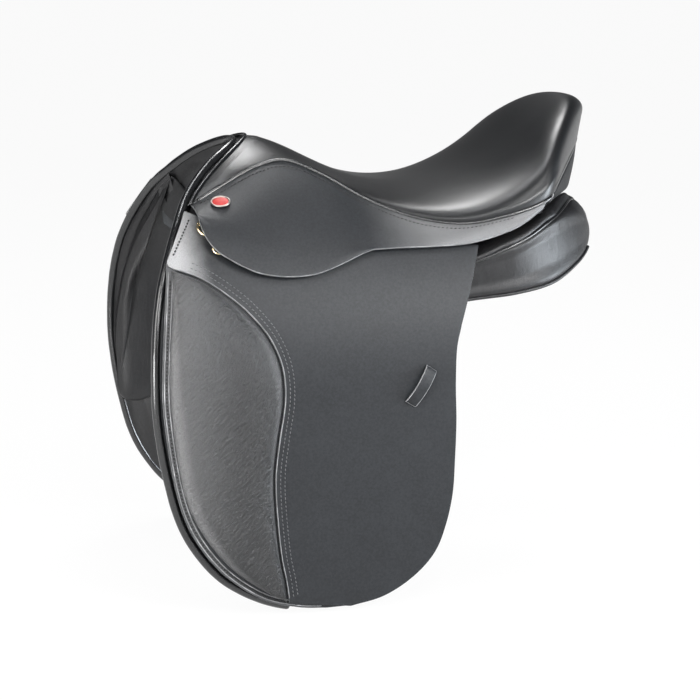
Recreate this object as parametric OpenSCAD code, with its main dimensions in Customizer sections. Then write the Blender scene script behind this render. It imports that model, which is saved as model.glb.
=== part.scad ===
// Dressage saddle, built as separate leather, foam, wood and metal pieces.
// X runs from the pommel (negative) to the cantle, Y across the horse, Z up.
// The near side, where the rider mounts, is negative Y. Sizes are millimetres.

/* [Seat] */
// Seat size, from the skirt stud to the middle of the cantle
seat_size = 445; // [415:5:475]
// Height of the cantle above the bearing plane
cantle_height = 185; // [175:1:195]
// Thickness of the seat leather
cover_thickness = 2.5; // [1.5:0.1:3]
// Foam depth under the rider
foam_depth = 14; // [9:0.5:16]
// Thickness of the laminated tree
tree_thickness = 8; // [5:0.5:9]

/* [Flaps] */
// Half width of the barrel the flaps hang around
barrel_half_width = 174; // [168:1:180]
// Drop of the flap below the bearing plane
flap_drop = 305; // [285:1:320]
// Thickness of the sweat flap
sweat_thickness = 3.5; // [2.5:0.1:4.5]
// Thickness of the flap backing
flap_thickness = 2.5; // [1.5:0.1:3.5]
// Thickness of the smooth facing on the flap
facing_thickness = 2; // [1.5:0.1:3]
// Crown of the knee pad above the flap backing
pad_crown = 11; // [6:0.5:14]

/* [Skirts] */
// Thickness of the skirt leather
skirt_thickness = 2.5; // [1.5:0.1:3]
// Room between the flap and the inside of the skirt
skirt_room = 8.3; // [8:0.1:9]

/* [Girth straps] */
// Width of each girth strap
strap_width = 25; // [20:1:30]
// Thickness of each girth strap
strap_thickness = 3.6; // [2.5:0.1:4.5]
// Running room on each side of a strap
strap_room = 1.2; // [1:0.1:2]
// Diameter of the stud a strap turns on
stud_diameter = 6; // [5:0.5:7]
// Diameter of the buckle holes
strap_hole = 5; // [4:0.5:6]

/* [Stirrup bars] */
// Diameter of the round bar that carries the stirrup leather
bar_diameter = 7; // [6:0.5:7.5]
// Free length of the bar
bar_length = 46; // [42:1:50]
// Space between the bar and its plate
bar_gap = 8; // [7:0.5:8.5]
// Thickness of the bar plate
bar_plate = 2.6; // [2:0.1:3]
// Diameter of the catch pin
catch_pin = 3; // [2.5:0.1:3.5]

/* [Trim] */
// Diameter of the padded front roll
roll_diameter = 9; // [7:0.5:10]
// Diameter of the seat welt
welt_diameter = 4.4; // [3:0.2:5]
// Wire diameter of the dees
dee_wire = 3; // [2.4:0.1:3.4]
// Inside width of the upper dee
dee_width = 15; // [13:0.5:17]
// Length of the oval stud on the near skirt
badge_length = 21; // [16:1:24]
// Width of the leather keeper
keeper_width = 12; // [9:0.5:16]
// Half width of the channel between the panels
gullet_half = 34; // [30:1:38]

/* [Hidden] */
$fn = 48;
gap = 0.3;
kx = seat_size / 445;
kz = flap_drop / 305;
barrel_z = -80;
barrel_height = 202;

// Distances out from the barrel, layer by layer.
strap_in = sweat_thickness + strap_room;
strap_out = strap_in + strap_thickness;
flap_in = strap_out + strap_room - 0.1;
flap_mid = flap_in + flap_thickness;
facing_in = flap_mid + 0.8;
flap_out = facing_in + facing_thickness;
skirt_in = flap_out + skirt_room;
skirt_out = skirt_in + skirt_thickness;

// Curves and small vector helpers.
function mix(a, b, t) = a + (b - a) * t;
function clamp(v, lo, hi) = max(lo, min(hi, v));
function unit(v) = v / max(norm(v), 1e-9);
function smooth(t) = let (c = clamp(t, 0, 1)) c * c * (3 - 2 * c);

// Point at parameter t of the smooth curve through the points p.
function curve(p, t) =
  let (n = len(p), i = clamp(floor(t), 0, n - 2), s = t - i, b = p[i], c = p[i + 1])
  let (a = i > 0 ? p[i - 1] : 2 * b - c, d = i < n - 2 ? p[i + 2] : 2 * c - b)
  b + 0.5 * s * (c - a + s * (2 * a - 5 * b + 4 * c - d + s * (3 * (b - c) + d - a)));
function samples(p, m) = [for (k = [0:m]) curve(p, (len(p) - 1) * k / m)];

// Point on the smooth closed curve through the points p.
function ring_point(p, t) =
  let (n = len(p), i = floor(t), s = t - i)
  let (a = p[(i + n - 1) % n], b = p[i % n], c = p[(i + 1) % n], d = p[(i + 2) % n])
  b + 0.5 * s * (c - a + s * (2 * a - 5 * b + 4 * c - d + s * (3 * (b - c) + d - a)));

function bezier(p, t) =
  let (s = 1 - t)
  s * s * s * p[0] + 3 * s * s * t * p[1] + 3 * s * t * t * p[2] + t * t * t * p[3];

// The barrel along X that every flap layer follows: a quarter ellipse above, upright below.
function barrel_normal(u) =
  let (s = max(0, u - barrel_z) / barrel_height)
  unit([barrel_height * sqrt(1 - s * s), barrel_half_width * s]);
function barrel(x, u, d) =
  let (s = max(0, u - barrel_z) / barrel_height, n = barrel_normal(u))
  [x, -(barrel_half_width * sqrt(1 - s * s) + d * n[0]), u + d * n[1]];
// An outline point given as [x, height] for the nominal saddle, at this saddle's size.
function sized(p) = [p[0] * kx, p[1] < 0 ? p[1] * kz : p[1]];
function sized3(p) = [p[0] * kx, p[1], p[2]];

module at_barrel(x, u, d) {
  n = barrel_normal(u);
  translate(barrel(x, u, d))
    rotate([atan2(n[0], n[1]), 0, 0])
      children();
}

module side(off) {
  if (off)
    mirror([0, 1, 0]) children();
  else
    children();
}

// Closed solid between an outer and an inner grid of points.
module shell(a, b) {
  r = len(a);
  c = len(a[0]);
  n = r * c;
  i0 = floor(r / 2);
  j0 = floor(c / 2);
  along = a[min(i0 + 1, r - 1)][j0] - a[max(i0 - 1, 0)][j0];
  across = a[i0][min(j0 + 1, c - 1)] - a[i0][max(j0 - 1, 0)];
  flip = cross(along, across) * (a[i0][j0] - b[i0][j0]) < 0;
  top = [for (i = [0:r - 2], j = [0:c - 2])
    each [[i * c + j, i * c + j + 1, i * c + c + j + 1], [i * c + j, i * c + c + j + 1, i * c + c + j]]];
  low = [for (f = top) [n + f[2], n + f[1], n + f[0]]];
  rim = concat([for (j = [0:c - 2]) j], [for (i = [0:r - 2]) i * c + c - 1],
    [for (j = [c - 1:-1:1]) n - c + j], [for (i = [r - 1:-1:1]) i * c]);
  m = len(rim);
  walls = [for (k = [0:m - 1]) let (p = rim[k], q = rim[(k + 1) % m])
    each [[p, n + p, n + q], [p, n + q, q]]];
  faces = concat(top, low, walls);
  polyhedron(
    concat([for (row = a) each row], [for (row = b) each row]),
    flip ? [for (f = faces) [f[2], f[1], f[0]]] : faces
  );
}

// Closed solid through a row of rings, capped at both ends.
module skin(rings) {
  r = len(rings);
  c = len(rings[0]);
  mid_first = [for (k = [0:2]) [for (p = rings[0]) p[k]] * [for (p = rings[0]) 1 / c]];
  mid_last = [for (k = [0:2]) [for (p = rings[r - 1]) p[k]] * [for (p = rings[0]) 1 / c]];
  h = floor(r / 2);
  mid = [for (k = [0:2]) [for (p = rings[h]) p[k]] * [for (p = rings[0]) 1 / c]];
  across = rings[h][1] - rings[h][c - 1];
  along = rings[min(h + 1, r - 1)][0] - rings[h - 1][0];
  flip = cross(across, along) * (rings[h][0] - mid) > 0;
  sides = [for (i = [0:r - 2], j = [0:c - 1]) let (k = (j + 1) % c)
    each [[i * c + j, i * c + k, i * c + c + k], [i * c + j, i * c + c + k, i * c + c + j]]];
  caps = [for (j = [0:c - 1]) let (k = (j + 1) % c)
    each [[r * c, k, j], [r * c + 1, r * c - c + j, r * c - c + k]]];
  faces = concat(sides, caps);
  polyhedron(
    concat([for (g = rings) each g], [mid_first, mid_last]),
    flip ? [for (f = faces) [f[2], f[1], f[0]]] : faces
  );
}

// Round cord of radius r along a path; the start normal is any vector off the path.
module cord(path, r, start, sides = 8) {
  n = len(path);
  tang = [for (k = [0:n - 1]) unit(path[min(k + 1, n - 1)] - path[max(k - 1, 0)])];
  norms = [for (k = 0, v = unit(start - (start * tang[0]) * tang[0]); k < n; k = k + 1,
    v = k < n ? unit(v - (v * tang[k]) * tang[k]) : v) v];
  skin([for (k = [0:n - 1]) let (b = cross(tang[k], norms[k]))
    [for (j = [0:sides - 1]) let (w = 360 * j / sides)
      path[k] + r * (cos(w) * norms[k] + sin(w) * b)]]);
}

// Seat shape: each key is a ring across the seat, from its middle to its seam.
// Columns: middle x and z; seam x, half width and z; crown reach and lift; shoulder bulge and height.
seat_keys = [
  [-140, 150, -214, 98, 94, 0.34, 0, -28, 0.50],
  [-122, 147, -184, 88, 109, 0.36, 0, -18, 0.62],
  [-100, 138, -147, 80, 127, 0.38, 0, -6, 0.72],
  [-76, 126, -114, 78, 133, 0.40, 0, 0, 0.85],
  [-46, 112, -78, 90, 119, 0.42, -1, 4, 0.80],
  [-14, 102, -36, 107, 95, 0.45, -2, 8, 0.72],
  [22, 98, 10, 128, 78, 0.48, -2, 10, 0.72],
  [60, 102, 56, 145, 73, 0.50, -2, 12, 0.74],
  [98, 116, 96, 151, 80, 0.52, 0, 12, 0.78],
  [132, 138, 128, 150, 89, 0.55, 2, 10, 0.82],
  [160, 161, 148, 142, 98, 0.58, 3, 8, 0.88],
  [183, 177, 166, 115, 109, 0.60, 3, 10, 0.92],
  [200, 185, 184, 85, 120, 0.60, 2, 12, 0.93],
  [216, 183, 202, 52, 131, 0.60, 0, 13, 0.91],
  [227, 173, 213, 26, 138, 0.60, 0, 9, 0.87],
  [229, 159, 218, 7, 141, 0.60, 0, 1, 0.80]
];
seat_last = len(seat_keys) - 1;
function cantle_z(z) = z <= 101 ? z : 101 + (z - 101) * (cantle_height - 101) / 84;
// Seat surface at ring t, from v = -1 on the near seam to v = 1 on the off seam.
function seat_point(t, v) =
  let (k = curve(seat_keys, t), lift = t > 5 ? cantle_z(k[1]) : k[1])
  let (q = bezier([
    [k[0], 0, lift],
    [mix(k[0], k[2], 0.06), k[3] * k[5], lift + k[6]],
    [mix(k[0], k[2], 0.74), k[3] + k[7], mix(k[4], lift, k[8])],
    [k[2], k[3], k[4]]
  ], abs(v)))
  [q[0] * kx, v < 0 ? -q[1] : q[1], q[2]];
function seat_normal(t, v) =
  let (e = 0.02, a = seat_point(min(t + e, seat_last), v) - seat_point(max(t - e, 0), v))
  let (b = seat_point(t, min(v + e, 1)) - seat_point(t, max(v - e, -1)), n = cross(a, b))
  unit(n);
function seat_under(t, v, d) = seat_point(t, v) - d * seat_normal(t, v);
// Share of the way to the seam at which the cover meets the welt, or the facing behind the cantle.
function cover_reach(t) =
  let (room = mix(welt_diameter / 2 + 3, 0.4, smooth((t - seam_corner - 0.1) / 0.7)))
  1 - 0.08 * room / norm(seat_point(t, 1) - seat_point(t, 0.92));
function seat_grid(t0, t1, m, reach, c, d0, d1, t_ramp) =
  [for (i = [0:m]) let (t = mix(t0, t1, i / m))
    [for (j = [0:c]) let (v = (reach < 1 ? reach : cover_reach(t)) * (2 * j / c - 1))
      seat_under(t, v, mix(d0, d1, smooth(t / t_ramp)))]];
function seam(t) = seat_point(t, -1);
seam_corner = 10;

foam_top = cover_thickness + 1;
foam_front = 7;
web_top_front = foam_top + foam_front + 0.9;
web_top = foam_top + foam_depth + 0.9;
web_thickness = 1.6;

// Skirt edge: straight fold across the front, then the narrow rear band.
fold_a = barrel(-212 * kx, 67.5, skirt_out);
fold_b = barrel(-42 * kx, 40.5, skirt_out);
skirt_dir = [0, -0.79, 0.613];
band_edge = [fold_b, barrel(-9 * kx, 41, skirt_out), barrel(27 * kx, 41, skirt_out),
  barrel(63 * kx, 43, skirt_out), sized3([107, -158, 70]), sized3([143, -148, 91])];
seam_fold_t = 4.9;
// Skirt surface: s runs from the front tip to the rear, r from the seam to the lower edge.
function skirt_low(s) =
  s < 1 ? mix(fold_a, fold_b, s) : curve(band_edge, (s - 1) * (len(band_edge) - 1));
function skirt_seam(s) =
  s < 1 ? seam(mix(0, seam_fold_t, s)) : seam(mix(seam_fold_t, seam_corner - 0.15, s - 1));
function skirt_point(s, r) =
  let (a = skirt_seam(s), b = skirt_low(s), bow = 4 * r * (1 - r) * (s < 1 ? 5 : 3 - 2 * (s - 1)))
  mix(a, b, r) - bow * [0, 0.75, -0.66];
function skirt_start(s) = (welt_diameter / 2 + (s < 1 ? 1.1 : 2.8)) / norm(skirt_low(s) - skirt_seam(s));

// Lower edge of the skirt lobe, front to rear, as [x, height] on the barrel.
lobe_edge = [[-212, 67.5], [-209.5, 60], [-205.5, 52.5], [-197.5, 44], [-186.5, 37.5], [-173.5, 31],
  [-158.5, 25.5], [-141.5, 22.5], [-122.5, 21.5], [-105, 22.5], [-89, 26], [-70, 32], [-54, 37.5],
  [-42, 40.5]];
function lobe_low(s) =
  let (p = sized(curve(lobe_edge, s * (len(lobe_edge) - 1))))
  barrel(p[0], p[1], skirt_out);

// Flap outlines as [x, height] on the barrel.
flap_fold = [[-246.5, 40.5], [42.5, -25]];
flap_front = [flap_fold[0], [-251.5, 4.5], [-256.5, -40.5], [-258, -87.5], [-251, -151], [-240.5, -198],
  [-223.5, -233.5], [-197, -266], [-161, -291.5], [-126, -302], [-97.5, -305]];
flap_rear = [flap_fold[1], [36.5, -47.5], [35, -79.5], [36, -118], [35, -156.5], [33, -193.5], [26, -227],
  [14.5, -255], [-7.5, -278.5], [-38, -296.5], [-72.5, -304.5]];
pad_edge = [[-242.5, 35.5], [-216.5, 26], [-192.5, 11.5], [-170.5, -6.5], [-151.5, -29.5],
  [-140.5, -56.5], [-138.5, -88], [-144, -125.5], [-148.5, -163], [-147.5, -202], [-143.5, -245.5],
  [-138.5, -273.5], [-135.5, -296.5]];
// Inner outline of the knee pad along the flap's front edge.
pad_front = [[-242.5, 31.5], [-244.5, -0.5], [-249.5, -40.5], [-250, -87], [-243.5, -151], [-233.5, -193.5],
  [-215, -229], [-190, -259.5], [-159, -283], [-142.5, -291.5]];
yoke_top = [[-223, 80.5], [-201, 72], [-181.5, 57.5], [-163.5, 43.5], [-141.5, 36.5], [-117, 35.5],
  [-94, 38.5], [-73, 43.5], [-41, 45.5], [-1, 45.5], [35, 46], [68, 43.5]];
sweat_rear = [[47, 12.5], [37, -35.5], [28, -81], [25.5, -151.5], [21, -202], [10, -242.5], [-10, -270],
  [-36, -286.5], [-66.5, -295]];
roll_edge = [[-211.5, 104.5], [-221.5, 90.5], [-232, 72], [-246.5, 39.5], [-256.5, 6.5], [-262.5, -40.5],
  [-263.5, -90.5], [-260.5, -122], [-255.5, -154.5], [-245.5, -198.5], [-233.5, -227.5], [-216, -254],
  [-199, -272], [-174.5, -288], [-152, -298], [-132, -303.5]];
roll_arch = [[-152, 0, 146], [-157, -18, 144.5], [-169, -35, 138.5], [-184, -49, 130], [-198, -61, 120.5]];

// Grid on the barrel between a front and a rear outline.
function sheet(front, rear, m, c, d) =
  [for (i = [0:m])
    let (v = i / m, a = curve(front, v * (len(front) - 1)), b = curve(rear, v * (len(rear) - 1)))
    [for (j = [0:c]) let (p = sized(mix(a, b, j / c))) barrel(p[0], p[1], d)]];

roll_radius = roll_diameter / 2;
function roll_path(m) =
  [for (p = samples(roll_edge, m)) let (q = sized(p)) barrel(q[0], q[1], sweat_thickness / 2)];
function roll_inset(d) =
  let (n = len(roll_edge))
  [for (k = [2:n - 1]) let (t = unit(roll_edge[min(k + 1, n - 1)] - roll_edge[k - 1]))
    roll_edge[k] + d * [-t[1], t[0]]];

// Places of the bar, dees, straps and keeper.
bar_x = -122;
bar_u = 52;
point_in = gap;
point_thickness = 3.4;
point_out = point_in + point_thickness;
bar_axis = bar_plate + bar_gap + bar_diameter / 2;
catch_x = bar_length / 2 + 9;
catch_z = 5.6;
catch_length = 11;
strap_x = [-64, -10];
stud_u = 56;
strap_end = -250;
chape_height = 3.6;
dee_places = [[-204, 65.5, 205, 1], [-195, 48.5, 231, 0.62]];

// Wood and steel.

// Laminated tree: head, side rails and cantle round an open middle.
module tree() {
  m = 20;
  c = 10;
  w = c + 1;
  n = (m + 1) * w;
  d0 = web_top_front + web_thickness + 0.9;
  d1 = web_top + web_thickness + 0.9;
  a = seat_grid(0.9, 12.2, m, 0.74, c, d0, d1, 4);
  b = seat_grid(0.9, 12.2, m, 0.74, c, d0 + tree_thickness, d1 + tree_thickness, 4);
  function kept(i, j) = i < 6 || i > 16 || j < 3 || j > 6;
  function solid(i, j) = i >= 0 && i < m && j >= 0 && j < c && kept(i, j);
  function id(i, j) = i * w + j;
  cells = [for (i = [0:m - 1], j = [0:c - 1]) if (kept(i, j)) [i, j]];
  top = [for (q = cells) let (i = q[0], j = q[1])
    each [[id(i, j), id(i, j + 1), id(i + 1, j + 1)], [id(i, j), id(i + 1, j + 1), id(i + 1, j)]]];
  low = [for (f = top) [n + f[2], n + f[1], n + f[0]]];
  edges = [for (q = cells) let (i = q[0], j = q[1]) each concat(
    solid(i - 1, j) ? [] : [[id(i, j), id(i, j + 1)]],
    solid(i, j + 1) ? [] : [[id(i, j + 1), id(i + 1, j + 1)]],
    solid(i + 1, j) ? [] : [[id(i + 1, j + 1), id(i + 1, j)]],
    solid(i, j - 1) ? [] : [[id(i + 1, j), id(i, j)]]
  )];
  walls = [for (e = edges) each [[e[0], n + e[0], n + e[1]], [e[0], n + e[1], e[1]]]];
  faces = concat(top, low, walls);
  color([0.72, 0.55, 0.36])
    polyhedron(concat([for (row = a) each row], [for (row = b) each row]), faces);
}

// Canvas web stretched over the open middle of the tree.
module seat_webbing()
  color([0.78, 0.74, 0.64])
    shell(
      seat_grid(4.2, 12, 10, 0.62, 6, web_top, web_top, 4),
      seat_grid(4.2, 12, 10, 0.62, 6, web_top + web_thickness, web_top + web_thickness, 4)
    );

module seat_foam()
  color([0.85, 0.82, 0.7])
    shell(
      seat_grid(0.5, 13.5, 20, 0.86, 10, foam_top, foam_top, 4),
      seat_grid(0.5, 13.5, 20, 0.86, 10, foam_top + foam_front, foam_top + foam_depth - 0.6, 4)
    );

module seat_cover()
  color([0.09, 0.09, 0.095])
    shell(
      seat_grid(0.14, seat_last, 30, 1, 16, 0, 0, 4),
      seat_grid(0.14, seat_last, 30, 1, 16, cover_thickness, cover_thickness, 4)
    );

// Piping round the front of the seat.
module pommel_welt()
  color([0.1, 0.1, 0.1])
    cord([for (k = [-16:16]) seat_point(0, k / 16) + [-0.6, 0, 0.2]], welt_diameter / 2, [1, 0, 0], 6);

module seat_welt(off)
  color([0.1, 0.1, 0.1])
    side(off)
      cord([for (k = [0:30]) seam(mix(0.25, seam_corner - 0.1, k / 30))], welt_diameter / 2, [0, 0, 1], 6);
module seat_welt_near() seat_welt(false);
module seat_welt_off() seat_welt(true);

// Steel arch under the tree's head, its feet against the point plates.
foot = barrel(0, bar_u + 8, -1.2);
arch_top = seat_under(1, 0, web_top_front + web_thickness + gap + tree_thickness + 13.8)[2];
arch_rise = arch_top - foot[2];
arch_radius = (foot[1] * foot[1] + arch_rise * arch_rise) / (2 * arch_rise);
arch_angle = asin(-foot[1] / arch_radius);
arch_x = -140 * kx;
arch_width = 24;
rivet_u = bar_u + 14;
module gullet_rivet_bores(r)
  for (x = [-7, 7])
    at_barrel(arch_x + arch_width / 2 + x, bar_u, point_in)
      translate([0, 16, -9])
        cylinder(r = r, h = 18);
module gullet_plate()
  color([0.45, 0.46, 0.48])
    difference() {
      translate([arch_x, 0, arch_top - arch_radius])
        rotate([0, 90, 0])
          difference() {
            cylinder(r = arch_radius, h = arch_width);
            translate([0, 0, -1]) cylinder(r = arch_radius - 4, h = arch_width + 2);
            for (s = [-1, 1])
              rotate(180 + s * arch_angle)
                translate([-arch_radius * 2, s > 0 ? 0 : -arch_radius * 3, -1])
                  cube([arch_radius * 4, arch_radius * 3, arch_width + 2]);
          }
      for (off = [false, true])
        side(off) gullet_rivet_bores(2.6);
    }

// Flat steel point plate that carries the stirrup bar.
module tree_point(off)
  color([0.45, 0.46, 0.48])
    side(off)
      difference() {
        at_barrel(bar_x * kx, bar_u, point_in)
          translate([-46, -16, 0])
            cube([86, 42, point_thickness]);
        bar_rivet_bores(2.6);
        gullet_rivet_bores(2.6);
      }
module tree_point_near() tree_point(false);
module tree_point_off() tree_point(true);

module bar_rivet_bores(r)
  for (x = [-15, 13])
    at_barrel(bar_x * kx + x, bar_u, point_in)
      translate([0, 0, -2])
        cylinder(r = r, h = point_thickness + bar_plate + 6);

module gullet_rivets()
  color([0.6, 0.6, 0.62])
    for (off = [false, true], x = [-7, 7])
      side(off)
        at_barrel(arch_x + arch_width / 2 + x, bar_u, point_in)
          translate([0, 16, 0]) {
            translate([0, 0, -7]) cylinder(r = 2.5, h = 7 + point_thickness);
            translate([0, 0, point_thickness + 0.05]) cylinder(r1 = 4.2, r2 = 3, h = 2);
          }

// Stirrup bar: plate, front post, free round bar and two lugs for the catch.
module stirrup_bar(off)
  color([0.74, 0.75, 0.77])
    side(off)
      difference() {
        at_barrel(bar_x * kx, bar_u, point_out + 0.05) {
          translate([-bar_length / 2 - 6, -8, 0]) cube([bar_length + 17, 16, bar_plate]);
          translate([-bar_length / 2, 0, 0]) cylinder(d = bar_diameter, h = bar_axis);
          translate([-bar_length / 2, 0, bar_axis]) sphere(d = bar_diameter);
          translate([-bar_length / 2, 0, bar_axis])
            rotate([0, 90, 0])
              cylinder(d = bar_diameter, h = bar_length);
          for (s = [-1, 1])
            translate([catch_x, s * 5.6, 0])
              rotate([90, 0, 0]) {
                translate([0, catch_z, -1.2]) cylinder(r = 2.9, h = 2.4);
                translate([-2.9, 0, -1.2]) cube([5.8, catch_z, 2.4]);
              }
        }
        bar_rivet_bores(2.6);
        at_barrel(bar_x * kx, bar_u, point_out + 0.05)
          translate([catch_x, -12, catch_z])
            rotate([-90, 0, 0])
              cylinder(d = catch_pin + 0.02, h = 24);
      }
module stirrup_bar_near() stirrup_bar(false);
module stirrup_bar_off() stirrup_bar(true);

module bar_rivets()
  color([0.6, 0.6, 0.62])
    for (off = [false, true], x = [-15, 13])
      side(off)
        at_barrel(bar_x * kx + x, bar_u, point_in)
          {
            cylinder(r = 2.5, h = point_thickness + bar_plate + 0.1);
            translate([0, 0, point_thickness + bar_plate + 0.1]) cylinder(r1 = 4.4, r2 = 3.2, h = 1.6);
          }

// Thumb catch that closes the open end of the bar; it rests open, lying rearward.
module bar_catch(off)
  color([0.7, 0.71, 0.73])
    side(off)
      at_barrel(bar_x * kx, bar_u, point_out + 0.05)
        translate([catch_x, 0, catch_z])
          rotate([90, 0, 0])
            difference() {
              translate([0, 0, -4]) {
                cylinder(r = 2.6, h = 8);
                translate([0, -1.6, 0]) cube([catch_length, 3.2, 8]);
                translate([catch_length, 0, 0]) cylinder(r = 1.6, h = 8);
              }
              translate([0, 0, -6]) cylinder(d = catch_pin + 0.16, h = 12);
            }
module bar_catch_near() bar_catch(false);
module bar_catch_off() bar_catch(true);

module catch_pin_at(off)
  color([0.55, 0.55, 0.57])
    side(off)
      at_barrel(bar_x * kx, bar_u, point_out + 0.05)
        translate([catch_x, -7, catch_z])
          rotate([-90, 0, 0])
            cylinder(d = catch_pin, h = 14);
module catch_pin_near() catch_pin_at(false);
module catch_pin_off() catch_pin_at(true);

// Leather.

module skirt(off) {
  function grid(d) = [for (i = [0:30]) let (s = 1.96 * i / 30)
    [for (j = [0:4]) skirt_point(s, mix(skirt_start(s), 1, j / 4)) - d * skirt_dir]];
  color([0.11, 0.115, 0.12])
    side(off) shell(grid(0), grid(skirt_thickness));
}
module skirt_near() skirt(false);
module skirt_off() skirt(true);

// Free lower lobe of the skirt, which lifts over the stirrup bar.
module skirt_lobe(off) {
  function grid(d) = [for (i = [0:22])
    let (s = mix(0.015, 0.985, i / 22), a = mix(fold_a, fold_b, s), b = lobe_low(s))
    [for (j = [0:4]) let (r = mix(0.4 / max(norm(b - a), 1), 1, j / 4))
      mix(a, b, r) + 1.2 * sin(180 * r) * skirt_dir - d * skirt_dir]];
  color([0.11, 0.115, 0.12])
    side(off) shell(grid(0), grid(skirt_thickness));
}
module skirt_lobe_near() skirt_lobe(false);
module skirt_lobe_off() skirt_lobe(true);

// Fixed top of the flap, dipping below the stirrup bar; its front end bears on the front roll.
module flap_yoke(off) {
  function depth(x) =
    mix(flap_in, sweat_thickness / 2 + roll_radius + gap, smooth((-200 * kx - x) / 14));
  function grid(inner) = [for (i = [0:24])
    let (a = curve(yoke_top, i * 11 / 24), b = mix(flap_fold[0], flap_fold[1], i / 24))
    [for (j = [0:4]) let (p = sized(mix(a, b, j / 4) + [i == 0 ? 2.5 * sin(45 * j) : 0, 0]))
      barrel(p[0], p[1], inner ? depth(p[0]) : flap_out)]];
  color([0.12, 0.125, 0.13])
    side(off) shell(grid(false), grid(true));
}
module flap_yoke_near() flap_yoke(false);
module flap_yoke_off() flap_yoke(true);

fold_gap = [0, -0.6];
function below_fold(p) = concat([p[0] + fold_gap], [for (k = [1:len(p) - 1]) p[k]]);
// A row of outline points moved sideways by d.
function moved(p, d) =
  let (n = len(p))
  [for (k = [0:n - 1]) let (t = unit(p[min(k + 1, n - 1)] - p[max(k - 1, 0)])) p[k] + d * [-t[1], t[0]]];

module flap(off)
  color([0.1, 0.1, 0.105])
    side(off)
      shell(
        sheet(below_fold(flap_front), below_fold(flap_rear), 24, 5, flap_mid),
        sheet(below_fold(flap_front), below_fold(flap_rear), 24, 5, flap_in)
      );
module flap_near() flap(false);
module flap_off() flap(true);

// Smooth facing behind and above the knee pad.
module flap_facing(off) {
  front = concat([flap_fold[0] + fold_gap], pad_edge);
  color([0.13, 0.135, 0.14])
    side(off)
      shell(
        sheet(front, below_fold(flap_rear), 26, 5, flap_out),
        sheet(front, below_fold(flap_rear), 26, 5, facing_in)
      );
}
module flap_facing_near() flap_facing(false);
module flap_facing_off() flap_facing(true);

// Padded knee block sewn into the front of the flap: full crown, drawn in at its seam.
module knee_pad(off) {
  m = 20;
  c = 9;
  back = moved(pad_edge, -0.8);
  function p(i, j) =
    let (v = i / m, a = curve(pad_front, v * (len(pad_front) - 1)), b = curve(back, v * (len(back) - 1)))
    sized(mix(a, b, j / c));
  function rise(i, j) = let (q = 2 * j / c - 1, v = 2 * i / m - 1)
    1.4 + (pad_crown - 1.4) * pow(1 - pow(abs(q), 3), 0.7) * pow(max(1 - pow(abs(v), 7), 0), 0.6);
  color([0.16, 0.165, 0.17])
    side(off)
      shell(
        [for (i = [0:m]) [for (j = [0:c]) barrel(p(i, j)[0], p(i, j)[1], facing_in + rise(i, j))]],
        [for (i = [0:m]) [for (j = [0:c]) barrel(p(i, j)[0], p(i, j)[1], facing_in)]]
      );
}
module knee_pad_near() knee_pad(false);
module knee_pad_off() knee_pad(true);

// Raised keeper for the free end of the stirrup leather.
module keeper(off) {
  a = [9.5, -63.5];
  b = [-12.5, -98];
  t = unit(b - a);
  across = [-t[1], t[0]];
  function grid(d) = [for (i = [0:10]) let (v = i / 10)
    [for (j = [0:2]) let (p = sized(mix(a, b, v)) + (j / 2 - 0.5) * keeper_width * across)
      barrel(p[0], p[1], flap_out + gap + d + 6 * pow(sin(180 * v), 0.6))]];
  color([0.1, 0.1, 0.105])
    side(off) shell(grid(2), grid(0));
}
module keeper_near() keeper(false);
module keeper_off() keeper(true);

module sweat_flap(off) {
  edge = roll_inset(roll_radius + 2 * gap);
  front = concat([for (k = [1:len(edge) - 1]) edge[k]], [[-101.5, -299.5]]);
  color([0.1, 0.1, 0.1])
    side(off)
      shell(
        sheet(front, sweat_rear, 20, 5, sweat_thickness),
        sheet(front, sweat_rear, 20, 5, 0)
      );
}
module sweat_flap_near() sweat_flap(false);
module sweat_flap_off() sweat_flap(true);

// Padded roll round the front of both sweat flaps and over the pommel arch.
module front_roll() {
  near = concat([for (p = samples(roll_arch, 7)) sized3(p)], [for (k = [1:26]) roll_path(26)[k]]);
  n = len(near);
  path = concat([for (k = [n - 1:-1:1]) near[k]], [for (p = near) [p[0], -p[1], p[2]]]);
  color([0.12, 0.12, 0.12])
    cord(path, roll_radius, [0, 1, 0], 8);
}

// Leather strip between the front of the seat and the front roll.
module pommel_facing() {
  m = 14;
  function row(k) =
    let (v = k / m, a = seat_point(0, -abs(v) * 0.97), i = abs(v) * 5.5)
    let (b = i < 4 ? sized3(curve(roll_arch, i))
      : let (q = sized(curve(roll_edge, (i - 4) / 1.5))) barrel(q[0], q[1], sweat_thickness / 2))
    let (s = v < 0 ? 1 : -1, d = norm(b - a), room = roll_radius + 1.5 + 4 * smooth((i - 2) / 1.6))
    let (first = welt_diameter / 2 + 1.6, last = max(first + 1.5, d - room))
    [for (j = [0:3])
      let (q = mix(a, b, mix(first, last, j / 3) / d))
      [q[0], s * q[1], q[2]]];
  upper = [for (k = [-m:m]) row(k)];
  lower = [for (k = [-m:m]) [for (q = row(k)) q - 1.4 * unit([-0.35, 0.75 * q[1] / 60, 0.9])]];
  color([0.1, 0.1, 0.1]) shell(upper, lower);
}

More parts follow.
